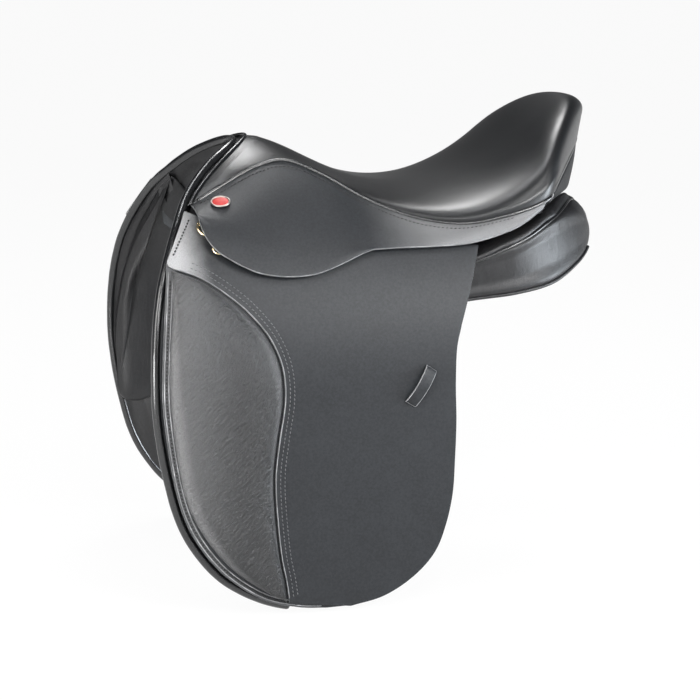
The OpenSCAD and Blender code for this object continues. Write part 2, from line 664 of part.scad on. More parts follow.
// Leather round the back of the cantle, from the seat's rear seam to the panels.
cantle_low = [[146, -140, 91], [166, -108, 93], [185, -78, 95], [199, -48, 98], [208, -22, 101],
  [210, 0, 102]];
module cantle_facing() {
  m = 12;
  function row(k) =
    let (v = abs(k) / m, a = seam(mix(seat_last, seam_corner + 0.15, v)))
    let (b = sized3(curve(cantle_low, 5 * (1 - v))), s = k < 0 ? 1 : -1)
    [for (j = [0:3]) let (q = mix(a, b, mix(0.012, 1, j / 3)) + 1.5 * sin(180 * j / 3) * [0.6, 0, 0.3])
      [q[0], s * (k == 0 ? 0 : q[1]), q[2]]];
  outer = [for (k = [-m:m]) row(k)];
  inner = [for (k = [-m:m]) [for (q = row(k)) q - 2.2 * unit([0.7, q[1] / 150, 0.25])]];
  color([0.1, 0.1, 0.1]) shell(outer, inner);
}

// Panels: the front follows the barrel, the rear is a plump gusseted cushion.
// Columns: top x, top height, low x, low height, barrel share, depth;
// then outer top, outer low, inner top and inner low as half width and height; then forward bow.
panel_keys = [
  [-204, 99, -254, -136, 1, 8, 120, 60, 150, -40, 60, 60, 90, -10, 21],
  [-196, 96, -244, -147, 1, 16, 120, 60, 150, -40, 60, 60, 90, -10, 20],
  [-177, 73, -218, -147, 1, 20, 125, 55, 150, -40, 60, 60, 90, -10, 15],
  [-150, 44, -182, -125, 1, 22, 128, 44, 150, -40, 60, 60, 90, -10, 8],
  [-104, 34, -125, -84, 0.85, 24, 130, 38, 150, -38, 52, 60, 84, -8, 3],
  [-50, 34, -67, -50, 0.5, 26, 134, 36, 150, -26, 38, 60, 60, 14, 0],
  [5, 34, -2, -30, 0.15, 28, 140, 36, 146, -15, 34, 60, 46, 20, 0],
  [60, 34, 60, -20, 0, 28, 145, 43, 141, -8, 34, 64, 40, 21, 0],
  [110, 34, 110, -20, 0, 28, 148, 60, 146, -3, 34, 72, 42, 21, 0],
  [150, 34, 150, -20, 0, 28, 129, 78, 140, 4, 34, 80, 45, 28, 0],
  [182, 34, 182, -20, 0, 28, 104, 80, 119, 18, 37, 80, 49, 40, 0],
  [203, 34, 203, -20, 0, 28, 82, 71, 95, 31, 46, 73, 55, 47, 0],
  [212, 34, 212, -20, 0, 28, 71, 60, 78, 45, 57, 62, 60, 50, 0]
];
panel_last = len(panel_keys) - 1;
function panel_key(s) = curve(panel_keys, s);
function panel_side(k, t, inner) =
  let (bulge = 4 * t * (1 - t), x = (mix(k[0], k[2], t) - k[14] * bulge) * kx, u = mix(k[1], k[3], t))
  let (a = barrel(x, u, inner ? -1.8 - k[5] * (0.72 + 0.28 * bulge) : -1.8))
  let (w = gullet_half - 34)
  let (b = inner ? [x, -(mix(k[10], k[12], t) - 3 * bulge + w), mix(k[11], k[13], t)]
    : [x, -(mix(k[6], k[8], t) + 4 * bulge), mix(k[7], k[9], t)])
  mix(b, a, clamp(k[4], 0, 1));
function panel_ring(s, c) =
  let (k = panel_key(s), f = 1 - clamp(k[4], 0, 1))
  let (low = mix(panel_side(k, 1, false), panel_side(k, 1, true), 0.5))
  let (top = mix(panel_side(k, 0, false), panel_side(k, 0, true), 0.5))
  let (p = [
    for (t = [0.06, 0.34, 0.66, 0.94]) panel_side(k, t, false),
    low - [0, 0, 2 + 5 * f],
    for (t = [0.94, 0.66, 0.34, 0.06]) panel_side(k, t, true),
    top + [0, 0, 2 + 4 * f]
  ])
  [for (j = [0:c - 1]) ring_point(p, 10 * j / c)];
module panel(off)
  color([0.13, 0.13, 0.135])
    side(off)
      skin([for (i = [0:25]) panel_ring(panel_last * i / 25, 20)]);
module panel_near() panel(false);
module panel_off() panel(true);

// Welt along the lower seam of the rear gusset.
module panel_welt(off)
  color([0.1, 0.1, 0.1])
    side(off)
      cord([for (i = [0:18]) let (s = mix(6.4, 11.2, i / 18), g = panel_ring(s, 20), d = unit(g[6] - g[16]))
        g[6] + 3.2 * d], 1.7, [0, 0, 1], 6);
module panel_welt_near() panel_welt(false);
module panel_welt_off() panel_welt(true);

// Roof of the channel between the panels.
module gullet_lining() {
  function grid(d) = [for (i = [0:12])
    let (k = panel_key(mix(5, 11, i / 12)), w = k[10] + gullet_half - 34 - 1)
    [for (j = [0:4]) let (q = j / 2 - 1) [k[0] * kx, q * w, k[11] - 1 + 2 * (1 - q * q) + d]]];
  color([0.14, 0.14, 0.14]) shell(grid(2), grid(0));
}

// Metal trim.

// Frame of the near skirt at [s, r]: outward normal as local Z.
module on_skirt(s, r, turn) {
  o = skirt_point(s, r);
  e = unit(skirt_point(s + 0.02, r) - skirt_point(s - 0.02, r));
  n0 = unit(cross(skirt_point(s, r + 0.02) - skirt_point(s, r - 0.02), e));
  n = n0 * skirt_dir > 0 ? n0 : -n0;
  f = cross(n, e);
  multmatrix([[e[0], f[0], n[0], o[0]], [e[1], f[1], n[1], o[1]], [e[2], f[2], n[2], o[2]], [0, 0, 0, 1]])
    rotate(turn) children();
}
badge_s = 0.17;
badge_r = 0.42;
module badge_rim()
  color([0.8, 0.78, 0.74])
    on_skirt(badge_s, badge_r, 20)
      translate([0, 0, 0.7])
        scale([1, 0.71, 1])
          difference() {
            cylinder(d = badge_length, h = 1.8);
            translate([0, 0, 0.6]) cylinder(d = badge_length - 3, h = 2);
          }
module badge_enamel()
  color([0.75, 0.12, 0.1])
    on_skirt(badge_s, badge_r, 20)
      translate([0, 0, 1.35])
        scale([1, 0.71, 1])
          cylinder(d = badge_length - 3.2, h = 1);

module dee(off, k) {
  q = dee_places[k];
  r = q[3] * (dee_width + dee_wire) / 2;
  color([0.83, 0.72, 0.48])
    side(off)
      at_barrel(q[0] * kx, q[1], flap_out + chape_height)
        rotate(q[2]) {
          rotate([90, 0, 0]) cylinder(d = dee_wire, h = 2 * r, center = true);
          rotate(-90) rotate_extrude(angle = 180) translate([r, 0]) circle(d = dee_wire);
          for (s = [-1, 1]) translate([0, s * r, 0]) sphere(d = dee_wire);
        }
}
module dee_upper_near() dee(false, 0);
module dee_upper_off() dee(true, 0);
module dee_lower_near() dee(false, 1);
module dee_lower_off() dee(true, 1);

// Leather chapes that hold the dees to the top of the flap.
module dee_chapes(off)
  color([0.1, 0.1, 0.1])
    side(off)
      for (q = dee_places)
        at_barrel(q[0] * kx, q[1], flap_out + chape_height)
          rotate(q[2])
            difference() {
              union() {
                rotate([90, 0, 0]) cylinder(d = dee_wire + 3.4, h = 8 * q[3], center = true);
                translate([-12, -4 * q[3], -chape_height + gap]) cube([12, 8 * q[3], chape_height + 1.4]);
              }
              rotate([90, 0, 0]) cylinder(d = dee_wire + 0.16, h = 20, center = true);
            }
module dee_chapes_near() dee_chapes(false);
module dee_chapes_off() dee_chapes(true);

// Girth straps, each turning on a stud behind the flap.
module strap(off, x) {
  function grid(d) = [for (i = [0:14])
    let (u = mix(stud_u + 12, strap_end * kz, i / 14), w = strap_width / 2 * (i < 14 ? 1 : 0.5))
    [for (j = [-1, 0, 1]) barrel(x * kx + j * w, u, d)]];
  color([0.1, 0.1, 0.1])
    side(off)
      difference() {
        shell(grid(strap_out), grid(strap_in));
        stud_bore(x, stud_diameter / 2 + 0.08);
        for (k = [0:5])
          translate([x * kx, barrel(0, strap_end * kz, 0)[1] + 60, strap_end * kz + 18 + 22 * k])
            rotate([90, 0, 0])
              cylinder(d = strap_hole, h = 120);
      }
}
module strap_front_near() strap(false, strap_x[0]);
module strap_front_off() strap(true, strap_x[0]);
module strap_rear_near() strap(false, strap_x[1]);
module strap_rear_off() strap(true, strap_x[1]);

module stud_bore(x, r)
  translate([x * kx, barrel(0, stud_u, 0)[1] + 8, stud_u + strap_in * barrel_normal(stud_u)[1]])
    rotate([90, 0, 0])
      cylinder(r = r, h = 30);

// Girth web from the tree down to the studs.
module girth_web(off) {
  depth = web_top + web_thickness + 0.9 + tree_thickness / 2 + 2;
  function grid(d) = [for (i = [0:5]) let (x = mix(-78, 5, i / 5) * kx, t = mix(4.0, 5.6, i / 5))
    let (a = seat_under(t, -0.765, depth - d), b = barrel(x, 66, d))
    [a, mix(a, b, 0.5), b, barrel(x, 54, d), barrel(x, 42, d)]];
  color([0.75, 0.72, 0.62])
    side(off)
      difference() {
        shell(grid(3.2), grid(0.2));
        for (x = strap_x) stud_bore(x, stud_diameter / 2 + 0.05);
      }
}
module girth_web_near() girth_web(false);
module girth_web_off() girth_web(true);

module girth_studs()
  color([0.6, 0.6, 0.62]) {
    z = stud_u + strap_in * barrel_normal(stud_u)[1];
    y0 = barrel(0, stud_u, 0)[1] + 3;
    y1 = barrel(0, stud_u, strap_out + 7)[1];
    for (off = [false, true], x = strap_x)
      side(off) {
        translate([x * kx, y0, z]) rotate([90, 0, 0]) cylinder(d = stud_diameter, h = y0 - y1);
        translate([x * kx, y1, z]) rotate([90, 0, 0]) cylinder(d = stud_diameter + 5, h = 1.6);
      }
  }

tree();
seat_webbing();
seat_foam();
seat_cover();
pommel_welt();
seat_welt_near();
seat_welt_off();
pommel_facing();
cantle_facing();
gullet_plate();
gullet_rivets();
tree_point_near();
tree_point_off();
stirrup_bar_near();
stirrup_bar_off();
bar_rivets();
bar_catch_near();
bar_catch_off();
catch_pin_near();
catch_pin_off();
skirt_near();
skirt_off();
skirt_lobe_near();
skirt_lobe_off();
flap_yoke_near();
flap_yoke_off();
flap_near();
flap_off();
flap_facing_near();
flap_facing_off();
knee_pad_near();
knee_pad_off();
keeper_near();
keeper_off();
sweat_flap_near();
sweat_flap_off();
front_roll();
panel_near();
panel_off();
panel_welt_near();
panel_welt_off();
gullet_lining();
badge_rim();
badge_enamel();
dee_upper_near();
dee_upper_off();
dee_lower_near();
dee_lower_off();
dee_chapes_near();
dee_chapes_off();
strap_front_near();
strap_front_off();
strap_rear_near();
strap_rear_off();
girth_web_near();
girth_web_off();
girth_studs();
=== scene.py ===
"""Dressage saddle: leatherwork, padding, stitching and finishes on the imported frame."""

import functools
import math
from typing import NamedTuple

import bmesh
import bpy
import numpy as np
from bpy.props import FloatProperty, FloatVectorProperty, PointerProperty
from mathutils import Matrix, Vector, noise


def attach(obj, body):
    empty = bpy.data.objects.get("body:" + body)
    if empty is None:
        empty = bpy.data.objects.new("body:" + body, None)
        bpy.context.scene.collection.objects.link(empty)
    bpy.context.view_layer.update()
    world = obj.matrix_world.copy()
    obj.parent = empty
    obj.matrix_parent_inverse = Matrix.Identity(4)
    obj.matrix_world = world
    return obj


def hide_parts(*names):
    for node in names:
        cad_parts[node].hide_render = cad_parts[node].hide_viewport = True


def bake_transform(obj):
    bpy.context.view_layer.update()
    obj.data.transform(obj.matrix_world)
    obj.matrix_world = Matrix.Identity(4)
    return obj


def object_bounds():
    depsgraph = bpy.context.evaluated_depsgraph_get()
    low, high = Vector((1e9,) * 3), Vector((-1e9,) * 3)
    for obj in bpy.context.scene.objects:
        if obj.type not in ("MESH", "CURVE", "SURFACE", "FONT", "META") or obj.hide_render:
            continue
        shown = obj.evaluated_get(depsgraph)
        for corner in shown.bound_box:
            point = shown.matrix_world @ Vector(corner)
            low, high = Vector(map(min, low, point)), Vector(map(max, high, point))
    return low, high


bl_info = {
    "name": "Dressage Saddle",
    "version": (1, 0, 0),
    "blender": (4, 5, 0),
    "location": "View3D > Sidebar > Saddle",
    "description": "Builds the leather, padding and stitching of a dressage saddle",
    "category": "Add Mesh",
}

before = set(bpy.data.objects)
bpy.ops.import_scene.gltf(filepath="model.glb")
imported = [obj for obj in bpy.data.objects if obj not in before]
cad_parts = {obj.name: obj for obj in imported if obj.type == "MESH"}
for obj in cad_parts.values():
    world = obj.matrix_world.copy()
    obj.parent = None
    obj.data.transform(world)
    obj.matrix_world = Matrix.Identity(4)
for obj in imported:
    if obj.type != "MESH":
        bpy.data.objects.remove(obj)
CAD_BOX = [list(c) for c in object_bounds()]
MM = 0.001
SIDES = {"near": 1.0, "off": -1.0}

# Depths out from the barrel, in millimetres, layer by layer.
SWEAT_OUT = 3.5
RIM_OUT, FACING_IN, FLAP_OUT = 12.4, 12.7, 14.7
SKIRT_OUT = 25.5
PAD_CROWN = 11.0

# Thicknesses, in millimetres.
COVER_T, FOAM_T, POMMEL_T, CANTLE_T, LINING_T, CHANNEL_T = 2.4, 14.0, 1.4, 2.2, 1.4, 2.0
SKIRT_T, FACING_T, BACKING_T, PAD_T, KEEPER_T, SWEAT_T = 2.4, 2.0, 3.0, 1.0, 2.0, 3.4

# Radii of the roll, the welts and the thin beads, in millimetres.
ROLL_R, WELT_R, PANEL_WELT_R, GUSSET_R, BEAD_R = 4.5, 2.2, 1.8, 1.7, 0.5

# Half axes of the barrel above its widest height, below which its sides are upright.
BARREL_UP, BARREL_SIDE, WIDEST = 202, 174, -80


class SaddleSizes(bpy.types.PropertyGroup):
    """Sizes of the sewn work."""

    stitch_pitch: FloatProperty(
        name="Stitch pitch", description="Distance from stitch to stitch", default=0.0042, unit="LENGTH"
    )
    stitch_length: FloatProperty(
        name="Stitch length", description="Length of thread that shows", default=0.0030, unit="LENGTH"
    )
    thread_radius: FloatProperty(
        name="Thread radius", description="Radius of the sewing thread", default=0.00050, unit="LENGTH"
    )
    wrinkle: FloatProperty(
        name="Wrinkle depth", description="Depth of the creases in the panels", default=0.0009, unit="LENGTH"
    )
    floor_drop: FloatProperty(
        name="Floor drop", description="Floor below the lowest edge", default=0.003, unit="LENGTH"
    )


class SaddleColours(bpy.types.PropertyGroup):
    """Colours of the finishes."""

    bridle: FloatVectorProperty(
        name="Flap leather", description="Smooth leather of flaps and skirts", subtype="COLOR",
        size=3, default=(0.0145, 0.016, 0.0185),
    )
    seat: FloatVectorProperty(
        name="Seat leather", description="Soft leather of the seat, its piping and the front roll",
        subtype="COLOR", size=3, default=(0.008, 0.0085, 0.0095),
    )
    grain: FloatVectorProperty(
        name="Grained leather", description="Grained leather of the knee pads", subtype="COLOR",
        size=3, default=(0.010, 0.0105, 0.0115),
    )
    panel: FloatVectorProperty(
        name="Panel leather", description="Soft leather of the panels", subtype="COLOR",
        size=3, default=(0.012, 0.012, 0.013),
    )
    # Pale grey: a painted highlight along the dyed, polished edges.
    edge: FloatVectorProperty(
        name="Cut edge", description="Dyed and polished cut edges", subtype="COLOR",
        size=3, default=(0.22, 0.222, 0.228),
    )
    thread: FloatVectorProperty(
        name="Thread", description="Waxed sewing thread", subtype="COLOR",
        size=3, default=(0.006, 0.006, 0.006),
    )
    pale_thread: FloatVectorProperty(
        name="Pad row thread", description="Paler thread of the rows beside the knee pads", subtype="COLOR",
        size=3, default=(0.085, 0.085, 0.09),
    )
    enamel: FloatVectorProperty(
        name="Enamel", description="Oval stud", subtype="COLOR", size=3, default=(0.42, 0.022, 0.018),
    )


def sizes():
    return bpy.context.scene.saddle_sizes


def colours():
    return bpy.context.scene.saddle_colours


# Curves and surfaces of the saddle, in millimetres.


def mix(a, b, t):
    return a + (b - a) * t


def clamp(v, lo=0.0, hi=1.0):
    return max(lo, min(hi, v))


def smooth(t):
    t = clamp(t)
    return t * t * (3 - 2 * t)


def unit(v):
    return v / max(math.sqrt(v @ v), 1e-9)


def spread(a, b, n):
    """Even values from a to b, in n steps."""
    return [mix(a, b, k / n) for k in range(n + 1)]


def spline(a, b, c, d, s):
    """Smooth curve from b to c at share s, with a before it and d after it."""
    return b + 0.5 * s * (c - a + s * (2 * a - 5 * b + 4 * c - d + s * (3 * (b - c) + d - a)))


def curve(p, t):
    """Point at parameter t of the smooth curve through the rows of p."""
    n = len(p)
    i = int(clamp(math.floor(t), 0, n - 2))
    b, c = p[i], p[i + 1]
    a = p[i - 1] if i > 0 else 2 * b - c
    d = p[i + 2] if i < n - 2 else 2 * c - b
    return spline(a, b, c, d, t - i)


def ring_point(p, t):
    """Point at parameter t of the closed smooth curve through the rows of p."""
    i = math.floor(t)
    return spline(*(p[(i + k) % len(p)] for k in (-1, 0, 1, 2)), t - i)


def along(p, t):
    """The curve through p at a share t of its points."""
    return curve(p, clamp(t) * (len(p) - 1))


def pts(*rows):
    return np.array(rows, float)


def aside(t):
    """A flat direction turned to its left."""
    return np.array([-t[1], t[0]])


def moved(p, d):
    """A row of outline points moved sideways by d."""
    last = len(p) - 1
    return np.array([
        p[k] + d * aside(unit(p[min(k + 1, last)] - p[max(k - 1, 0)])) for k in range(last + 1)])


def evened(points, times):
    """A row of points with its kinks taken out."""
    p = np.array(points, float)
    for _ in range(times):
        p[1:-1] = 0.5 * p[1:-1] + 0.25 * (p[:-2] + p[2:])
    return p


def between(front, rear):
    """The sheet between two outlines: u from one to the other, v along both."""

    @functools.lru_cache(maxsize=1024)
    def row(v):
        return along(front, v), along(rear, v)

    return lambda u, v: mix(*row(v), u)


def ruffle(p, size, depth):
    """Smooth repeatable unevenness of soft leather at point p."""
    return depth * noise.noise(Vector((p[0] / size, p[1] / size, p[2] / size)))


def barrel_at(u):
    """Half width of the barrel at height u and its outward normal (sideways, up)."""
    s = max(0.0, u - WIDEST) / BARREL_UP
    c = math.sqrt(max(1 - s * s, 1e-9))
    h = math.hypot(BARREL_UP * c, BARREL_SIDE * s)
    return BARREL_SIDE * c, BARREL_UP * c / h, BARREL_SIDE * s / h


def barrel(x, u, d):
    """Point at height u on the barrel, d outside it, on the near side."""
    w, a, b = barrel_at(u)
    return np.array((x, -(w + d * a), u + d * b))


def outward(u):
    """Direction out from the barrel at height u, on the near side."""
    _, a, b = barrel_at(u)
    return np.array((0.0, -a, b))


# Stations of the seat: x and height of the middle; x, half width and height of the seam; then the shape of the
# section between them: its shoulder, the rise beside the middle, the bulge and the height of the flank.
SEAT_KEYS = pts(
    (-140, 150, -214, 98, 94, 0.34, 0, -28, 0.50),
    (-122, 147, -184, 88, 109, 0.36, 0, -18, 0.62),
    (-100, 138, -147, 80, 127, 0.38, 0, -6, 0.72),
    (-76, 126, -114, 78, 133, 0.40, 0, 0, 0.85),
    (-46, 112, -78, 90, 119, 0.42, -1, 4, 0.80),
    (-14, 102, -36, 107, 95, 0.45, -2, 8, 0.72),
    (22, 98, 10, 128, 78, 0.48, -2, 10, 0.72),
    (60, 102, 56, 145, 73, 0.50, -2, 12, 0.74),
    (98, 116, 96, 151, 80, 0.52, 0, 12, 0.78),
    (132, 138, 128, 150, 89, 0.55, 2, 10, 0.82),
    (160, 161, 148, 142, 98, 0.58, 3, 8, 0.88),
    (183, 177, 166, 115, 109, 0.60, 3, 10, 0.92),
    (200, 185, 184, 85, 120, 0.60, 2, 12, 0.93),
    (216, 183, 202, 52, 131, 0.60, 0, 13, 0.91),
    (227, 173, 213, 26, 138, 0.60, 0, 9, 0.87),
    (229, 159, 218, 0.4, 141, 0.60, 0, 0, 0.80),
)
SEAT_LAST = len(SEAT_KEYS) - 1
SEAM_CORNER = 10


@functools.lru_cache(maxsize=4096)
def seat_key(t):
    return tuple(curve(SEAT_KEYS, t))


def seat_point(t, v):
    """Point of the seat at station t, with v across it from -1 at the near seam to 1 at the off one."""
    x0, z0, x1, y1, z1, shoulder, rise, bulge, flank = seat_key(t)
    a = abs(v)
    s = 1 - a
    w = (s * s * s, 3 * s * s * a, 3 * s * a * a, a * a * a)
    soft = a / (a + 0.12)
    x = w[0] * x0 + w[1] * mix(x0, x1, 0.06 * soft) + w[2] * mix(x0, x1, 0.74) + w[3] * x1
    y = w[1] * y1 * shoulder + w[2] * (y1 + bulge) + w[3] * y1
    z = w[0] * z0 + w[1] * (z0 + soft * rise) + w[2] * mix(z1, z0, flank) + w[3] * z1
    return np.array((x, -y if v < 0 else y, z))


@functools.lru_cache(maxsize=65536)
def seat_normal(t, v):
    e = 0.02
    a = seat_point(min(t + e, SEAT_LAST), v) - seat_point(max(t - e, 0), v)
    b = seat_point(t, min(v + e, 1)) - seat_point(t, max(v - e, -1))
    return unit(np.cross(a, b))


def seam(t):
    """Near-side seam of the seat at station t."""
    return seat_point(t, -1)


# Fold of the skirt's lobe, the way the skirt looks and the way it bows; station of the seam above the fold's rear
# end, and how far to each side of the fold the leather is rounded.
FOLD_A = barrel(-212, 67.5, SKIRT_OUT)
FOLD_B = barrel(-42, 40.5, SKIRT_OUT)
SKIRT_DIR = np.array([0, -0.79, 0.613])
BOW_DIR = np.array([0, 0.75, -0.66])
FOLD_STATION = 4.9
FOLD_ROUND = 12.0
BAND_EDGE = np.array([
    FOLD_B, barrel(-9, 41, SKIRT_OUT), barrel(27, 41, SKIRT_OUT), barrel(63, 43, SKIRT_OUT),
    (107, -158, 70), (143, -148, 91),
])
LOBE_EDGE = pts(
    (-212, 67.5), (-209.5, 60), (-205.5, 52.5), (-197.5, 44), (-186.5, 37.5), (-173.5, 31), (-158.5, 25.5),
    (-141.5, 22.5), (-122.5, 21.5), (-105, 22.5), (-89, 26), (-70, 32), (-54, 37.5), (-42, 40.5),
)


@functools.lru_cache(maxsize=4096)
def skirt_low(s):
    """Fold of the lobe, then the lower edge of the band behind it."""
    return mix(FOLD_A, FOLD_B, s) if s < 1 else along(BAND_EDGE, s - 1)


@functools.lru_cache(maxsize=4096)
def skirt_seam(s):
    """Seat seam above the point skirt_low(s)."""
    if s < 1:
        return seam(mix(0, FOLD_STATION, s))
    return seam(mix(FOLD_STATION, SEAM_CORNER - 0.15, s - 1))


def skirt_point(s, r):
    """Skirt above the fold: s along the seam (the lobe below it ends at 1), r from the seam to the lower edge."""
    bow = 4 * r * (1 - r) * mix(5, 1.5, smooth(s / 2))
    return mix(skirt_seam(s), skirt_low(s), r) - bow * BOW_DIR


@functools.lru_cache(maxsize=4096)
def lobe_low(s):
    """Free edge of the lobe."""
    return barrel(*along(LOBE_EDGE, s), SKIRT_OUT)


def skirt_leaf(s, w, d, start=1.0):
    """Skirt and lobe as one leaf: s along the seam, w from the seam to the free edge, rounded over the fold."""
    top = max(math.dist(skirt_low(s), skirt_seam(s)), 2)
    a, b = skirt_low(s), lobe_low(s) if s < 1 else skirt_low(s)
    free = math.dist(a, b)

    def at(p):
        if p > top and free > 1e-6:
            r = (p - top) / free
            return mix(a, b, r) + 1.2 * math.sin(math.pi * r) * SKIRT_DIR
        return skirt_point(s, min(p / top, 1))

    p = mix(start, top + free, w)
    reach = min(FOLD_ROUND, p - start, top + free - p)
    return 0.25 * at(p - reach) + 0.5 * at(p) + 0.25 * at(p + reach) - d * SKIRT_DIR


# Outlines on the barrel, as x and height.
FLAP_FOLD = pts((-246.5, 40.5), (42.5, -25))
FLAP_FRONT = np.vstack([FLAP_FOLD[0], pts(
    (-251.5, 4.5), (-256.5, -40.5), (-258, -87.5), (-251, -151), (-240.5, -198), (-223.5, -233.5),
    (-197, -266), (-161, -291.5), (-126, -302), (-97.5, -305),
)])
FLAP_REAR = np.vstack([FLAP_FOLD[1], pts(
    (36.5, -47.5), (35, -79.5), (36, -118), (35, -156.5), (33, -193.5), (26, -227), (14.5, -255),
    (-7.5, -278.5), (-38, -296.5), (-72.5, -304.5),
)])
PAD_EDGE = pts(
    (-242.5, 35.5), (-216.5, 26), (-192.5, 11.5), (-170.5, -6.5), (-151.5, -29.5), (-140.5, -56.5), (-138.5, -88),
    (-144, -125.5), (-148.5, -163), (-147.5, -202), (-143.5, -245.5), (-138.5, -273.5), (-135.5, -296.5),
)
PAD_FRONT = pts(
    (-242.5, 31.5), (-244.5, -0.5), (-249.5, -40.5), (-250, -87), (-243.5, -151), (-233.5, -193.5), (-215, -229),
    (-190, -259.5), (-159, -283), (-142.5, -291.5),
)
YOKE_TOP = pts(
    (-223, 80.5), (-201, 72), (-181.5, 57.5), (-163.5, 43.5), (-141.5, 36.5), (-117, 35.5), (-94, 38.5),
    (-73, 43.5), (-41, 45.5), (-1, 45.5), (35, 46), (68, 43.5),
)
SWEAT_REAR = pts(
    (47, 12.5), (37, -35.5), (28, -81), (25.5, -151.5), (21, -202), (10, -242.5), (-10, -270), (-36, -286.5),
    (-66.5, -295),
)
ROLL_EDGE = pts(
    (-211.5, 104.5), (-221.5, 90.5), (-232, 72), (-246.5, 39.5), (-256.5, 6.5), (-262.5, -40.5), (-263.5, -90.5),
    (-260.5, -122), (-255.5, -154.5), (-245.5, -198.5), (-233.5, -227.5), (-216, -254), (-199, -272),
    (-174.5, -288), (-152, -298), (-132, -303.5),
)
# Lines in space, on the near side.
ROLL_ARCH = pts((-152, 0, 146), (-157, -18, 144.5), (-169, -35, 138.5), (-184, -49, 130), (-198, -61, 120.5))
CANTLE_LOW = pts(
    (146, -140, 91), (166, -108, 93), (185, -78, 95), (199, -48, 98), (208, -22, 101), (210, 0, 102),
)
# Stations of the panel: x and height of its upper edge and of its lower edge, the share that lies on the barrel and
# its depth there; half width and height of the outer side's top and bottom and of the inner side's; forward bulge.
PANEL_KEYS = pts(
    (-207, 103, -257, -160, 1, 10, 120, 60, 150, -40, 60, 60, 90, -10, 21),
    (-198, 98, -246, -168, 1, 18, 120, 60, 150, -40, 60, 60, 90, -10, 20),
    (-177, 73, -219, -162, 1, 20, 125, 55, 150, -40, 60, 60, 90, -10, 15),
    (-150, 44, -182, -125, 1, 22, 128, 44, 150, -40, 60, 60, 90, -10, 8),
    (-104, 34, -125, -84, 0.85, 24, 130, 38, 150, -38, 52, 60, 84, -8, 3),
    (-50, 34, -67, -50, 0.5, 26, 134, 36, 150, -26, 38, 60, 60, 14, 0),
    (5, 34, -2, -30, 0.15, 28, 140, 36, 146, -15, 34, 60, 46, 20, 0),
    (60, 34, 60, -20, 0, 28, 145, 43, 141, -8, 34, 64, 40, 21, 0),
    (110, 34, 110, -20, 0, 28, 148, 60, 146, -3, 34, 72, 42, 21, 0),
    (150, 34, 150, -20, 0, 28, 129, 78, 140, 4, 34, 80, 45, 28, 0),
    (182, 34, 182, -20, 0, 28, 104, 80, 119, 18, 37, 80, 49, 40, 0),
    (203, 34, 203, -20, 0, 28, 82, 71, 95, 31, 46, 73, 55, 47, 0),
    (212, 34, 212, -20, 0, 28, 71, 60, 78, 45, 57, 62, 60, 50, 0),
)
PANEL_LAST = len(PANEL_KEYS) - 1


def panel_side(k, t, inner):
    """Point of the panel's inner or outer side, t from its top to its bottom."""
    bulge = 4 * t * (1 - t)
    x, u = mix(k[0], k[2], t) - k[14] * bulge, mix(k[1], k[3], t)
    depth = k[5] * (0.72 + 0.28 * bulge) if inner else 0.0
    y0, z0, y1, z1 = k[10:14] if inner else k[6:10]
    free = np.array([x, -(mix(y0, y1, t) + (-3 if inner else 4) * bulge), mix(z0, z1, t)])
    return mix(free, barrel(x, u, -1.8 - depth), clamp(k[4]))


@functools.lru_cache(maxsize=4096)
def panel_points(s):
    """Ten points round the panel at station s, from the top of its outer side."""
    k = curve(PANEL_KEYS, s)
    f = 1 - clamp(k[4])
    low = mix(panel_side(k, 1, False), panel_side(k, 1, True), 0.5) - np.array([0, 0, 2 + 5 * f])
    top = mix(panel_side(k, 0, False), panel_side(k, 0, True), 0.5) + np.array([0, 0, 2 + 4 * f])
    p = [panel_side(k, t, False) for t in (0.06, 0.34, 0.66, 0.94)] + [low]
    return p + [panel_side(k, t, True) for t in (0.94, 0.66, 0.34, 0.06)] + [top]


# Meshes.


def share(v):
    """A place on a grid of size 1, rounded so that one row or column gives one value."""
    return round(clamp(v), 6)


def to_object(bm, name, materials):
    """A smooth-shaded object from a bmesh, with its faces turned outwards."""
    if bm.calc_volume(signed=True) < 0 and len(bm.faces) > 1:
        bmesh.ops.reverse_faces(bm, faces=bm.faces[:])
    for f in bm.faces:
        f.smooth = True
    mesh = bpy.data.meshes.new(name)
    bm.to_mesh(mesh)
    bm.free()
    for m in materials:
        mesh.materials.append(m)
    obj = bpy.data.objects.new(name, mesh)
    bpy.context.collection.objects.link(obj)
    return obj


def soften(bm, verts, times):
    """Smooths some of the vertices, again and again."""
    for _ in range(times):
        bmesh.ops.smooth_vert(bm, verts=verts, factor=0.5, use_axis_x=True, use_axis_y=True, use_axis_z=True)


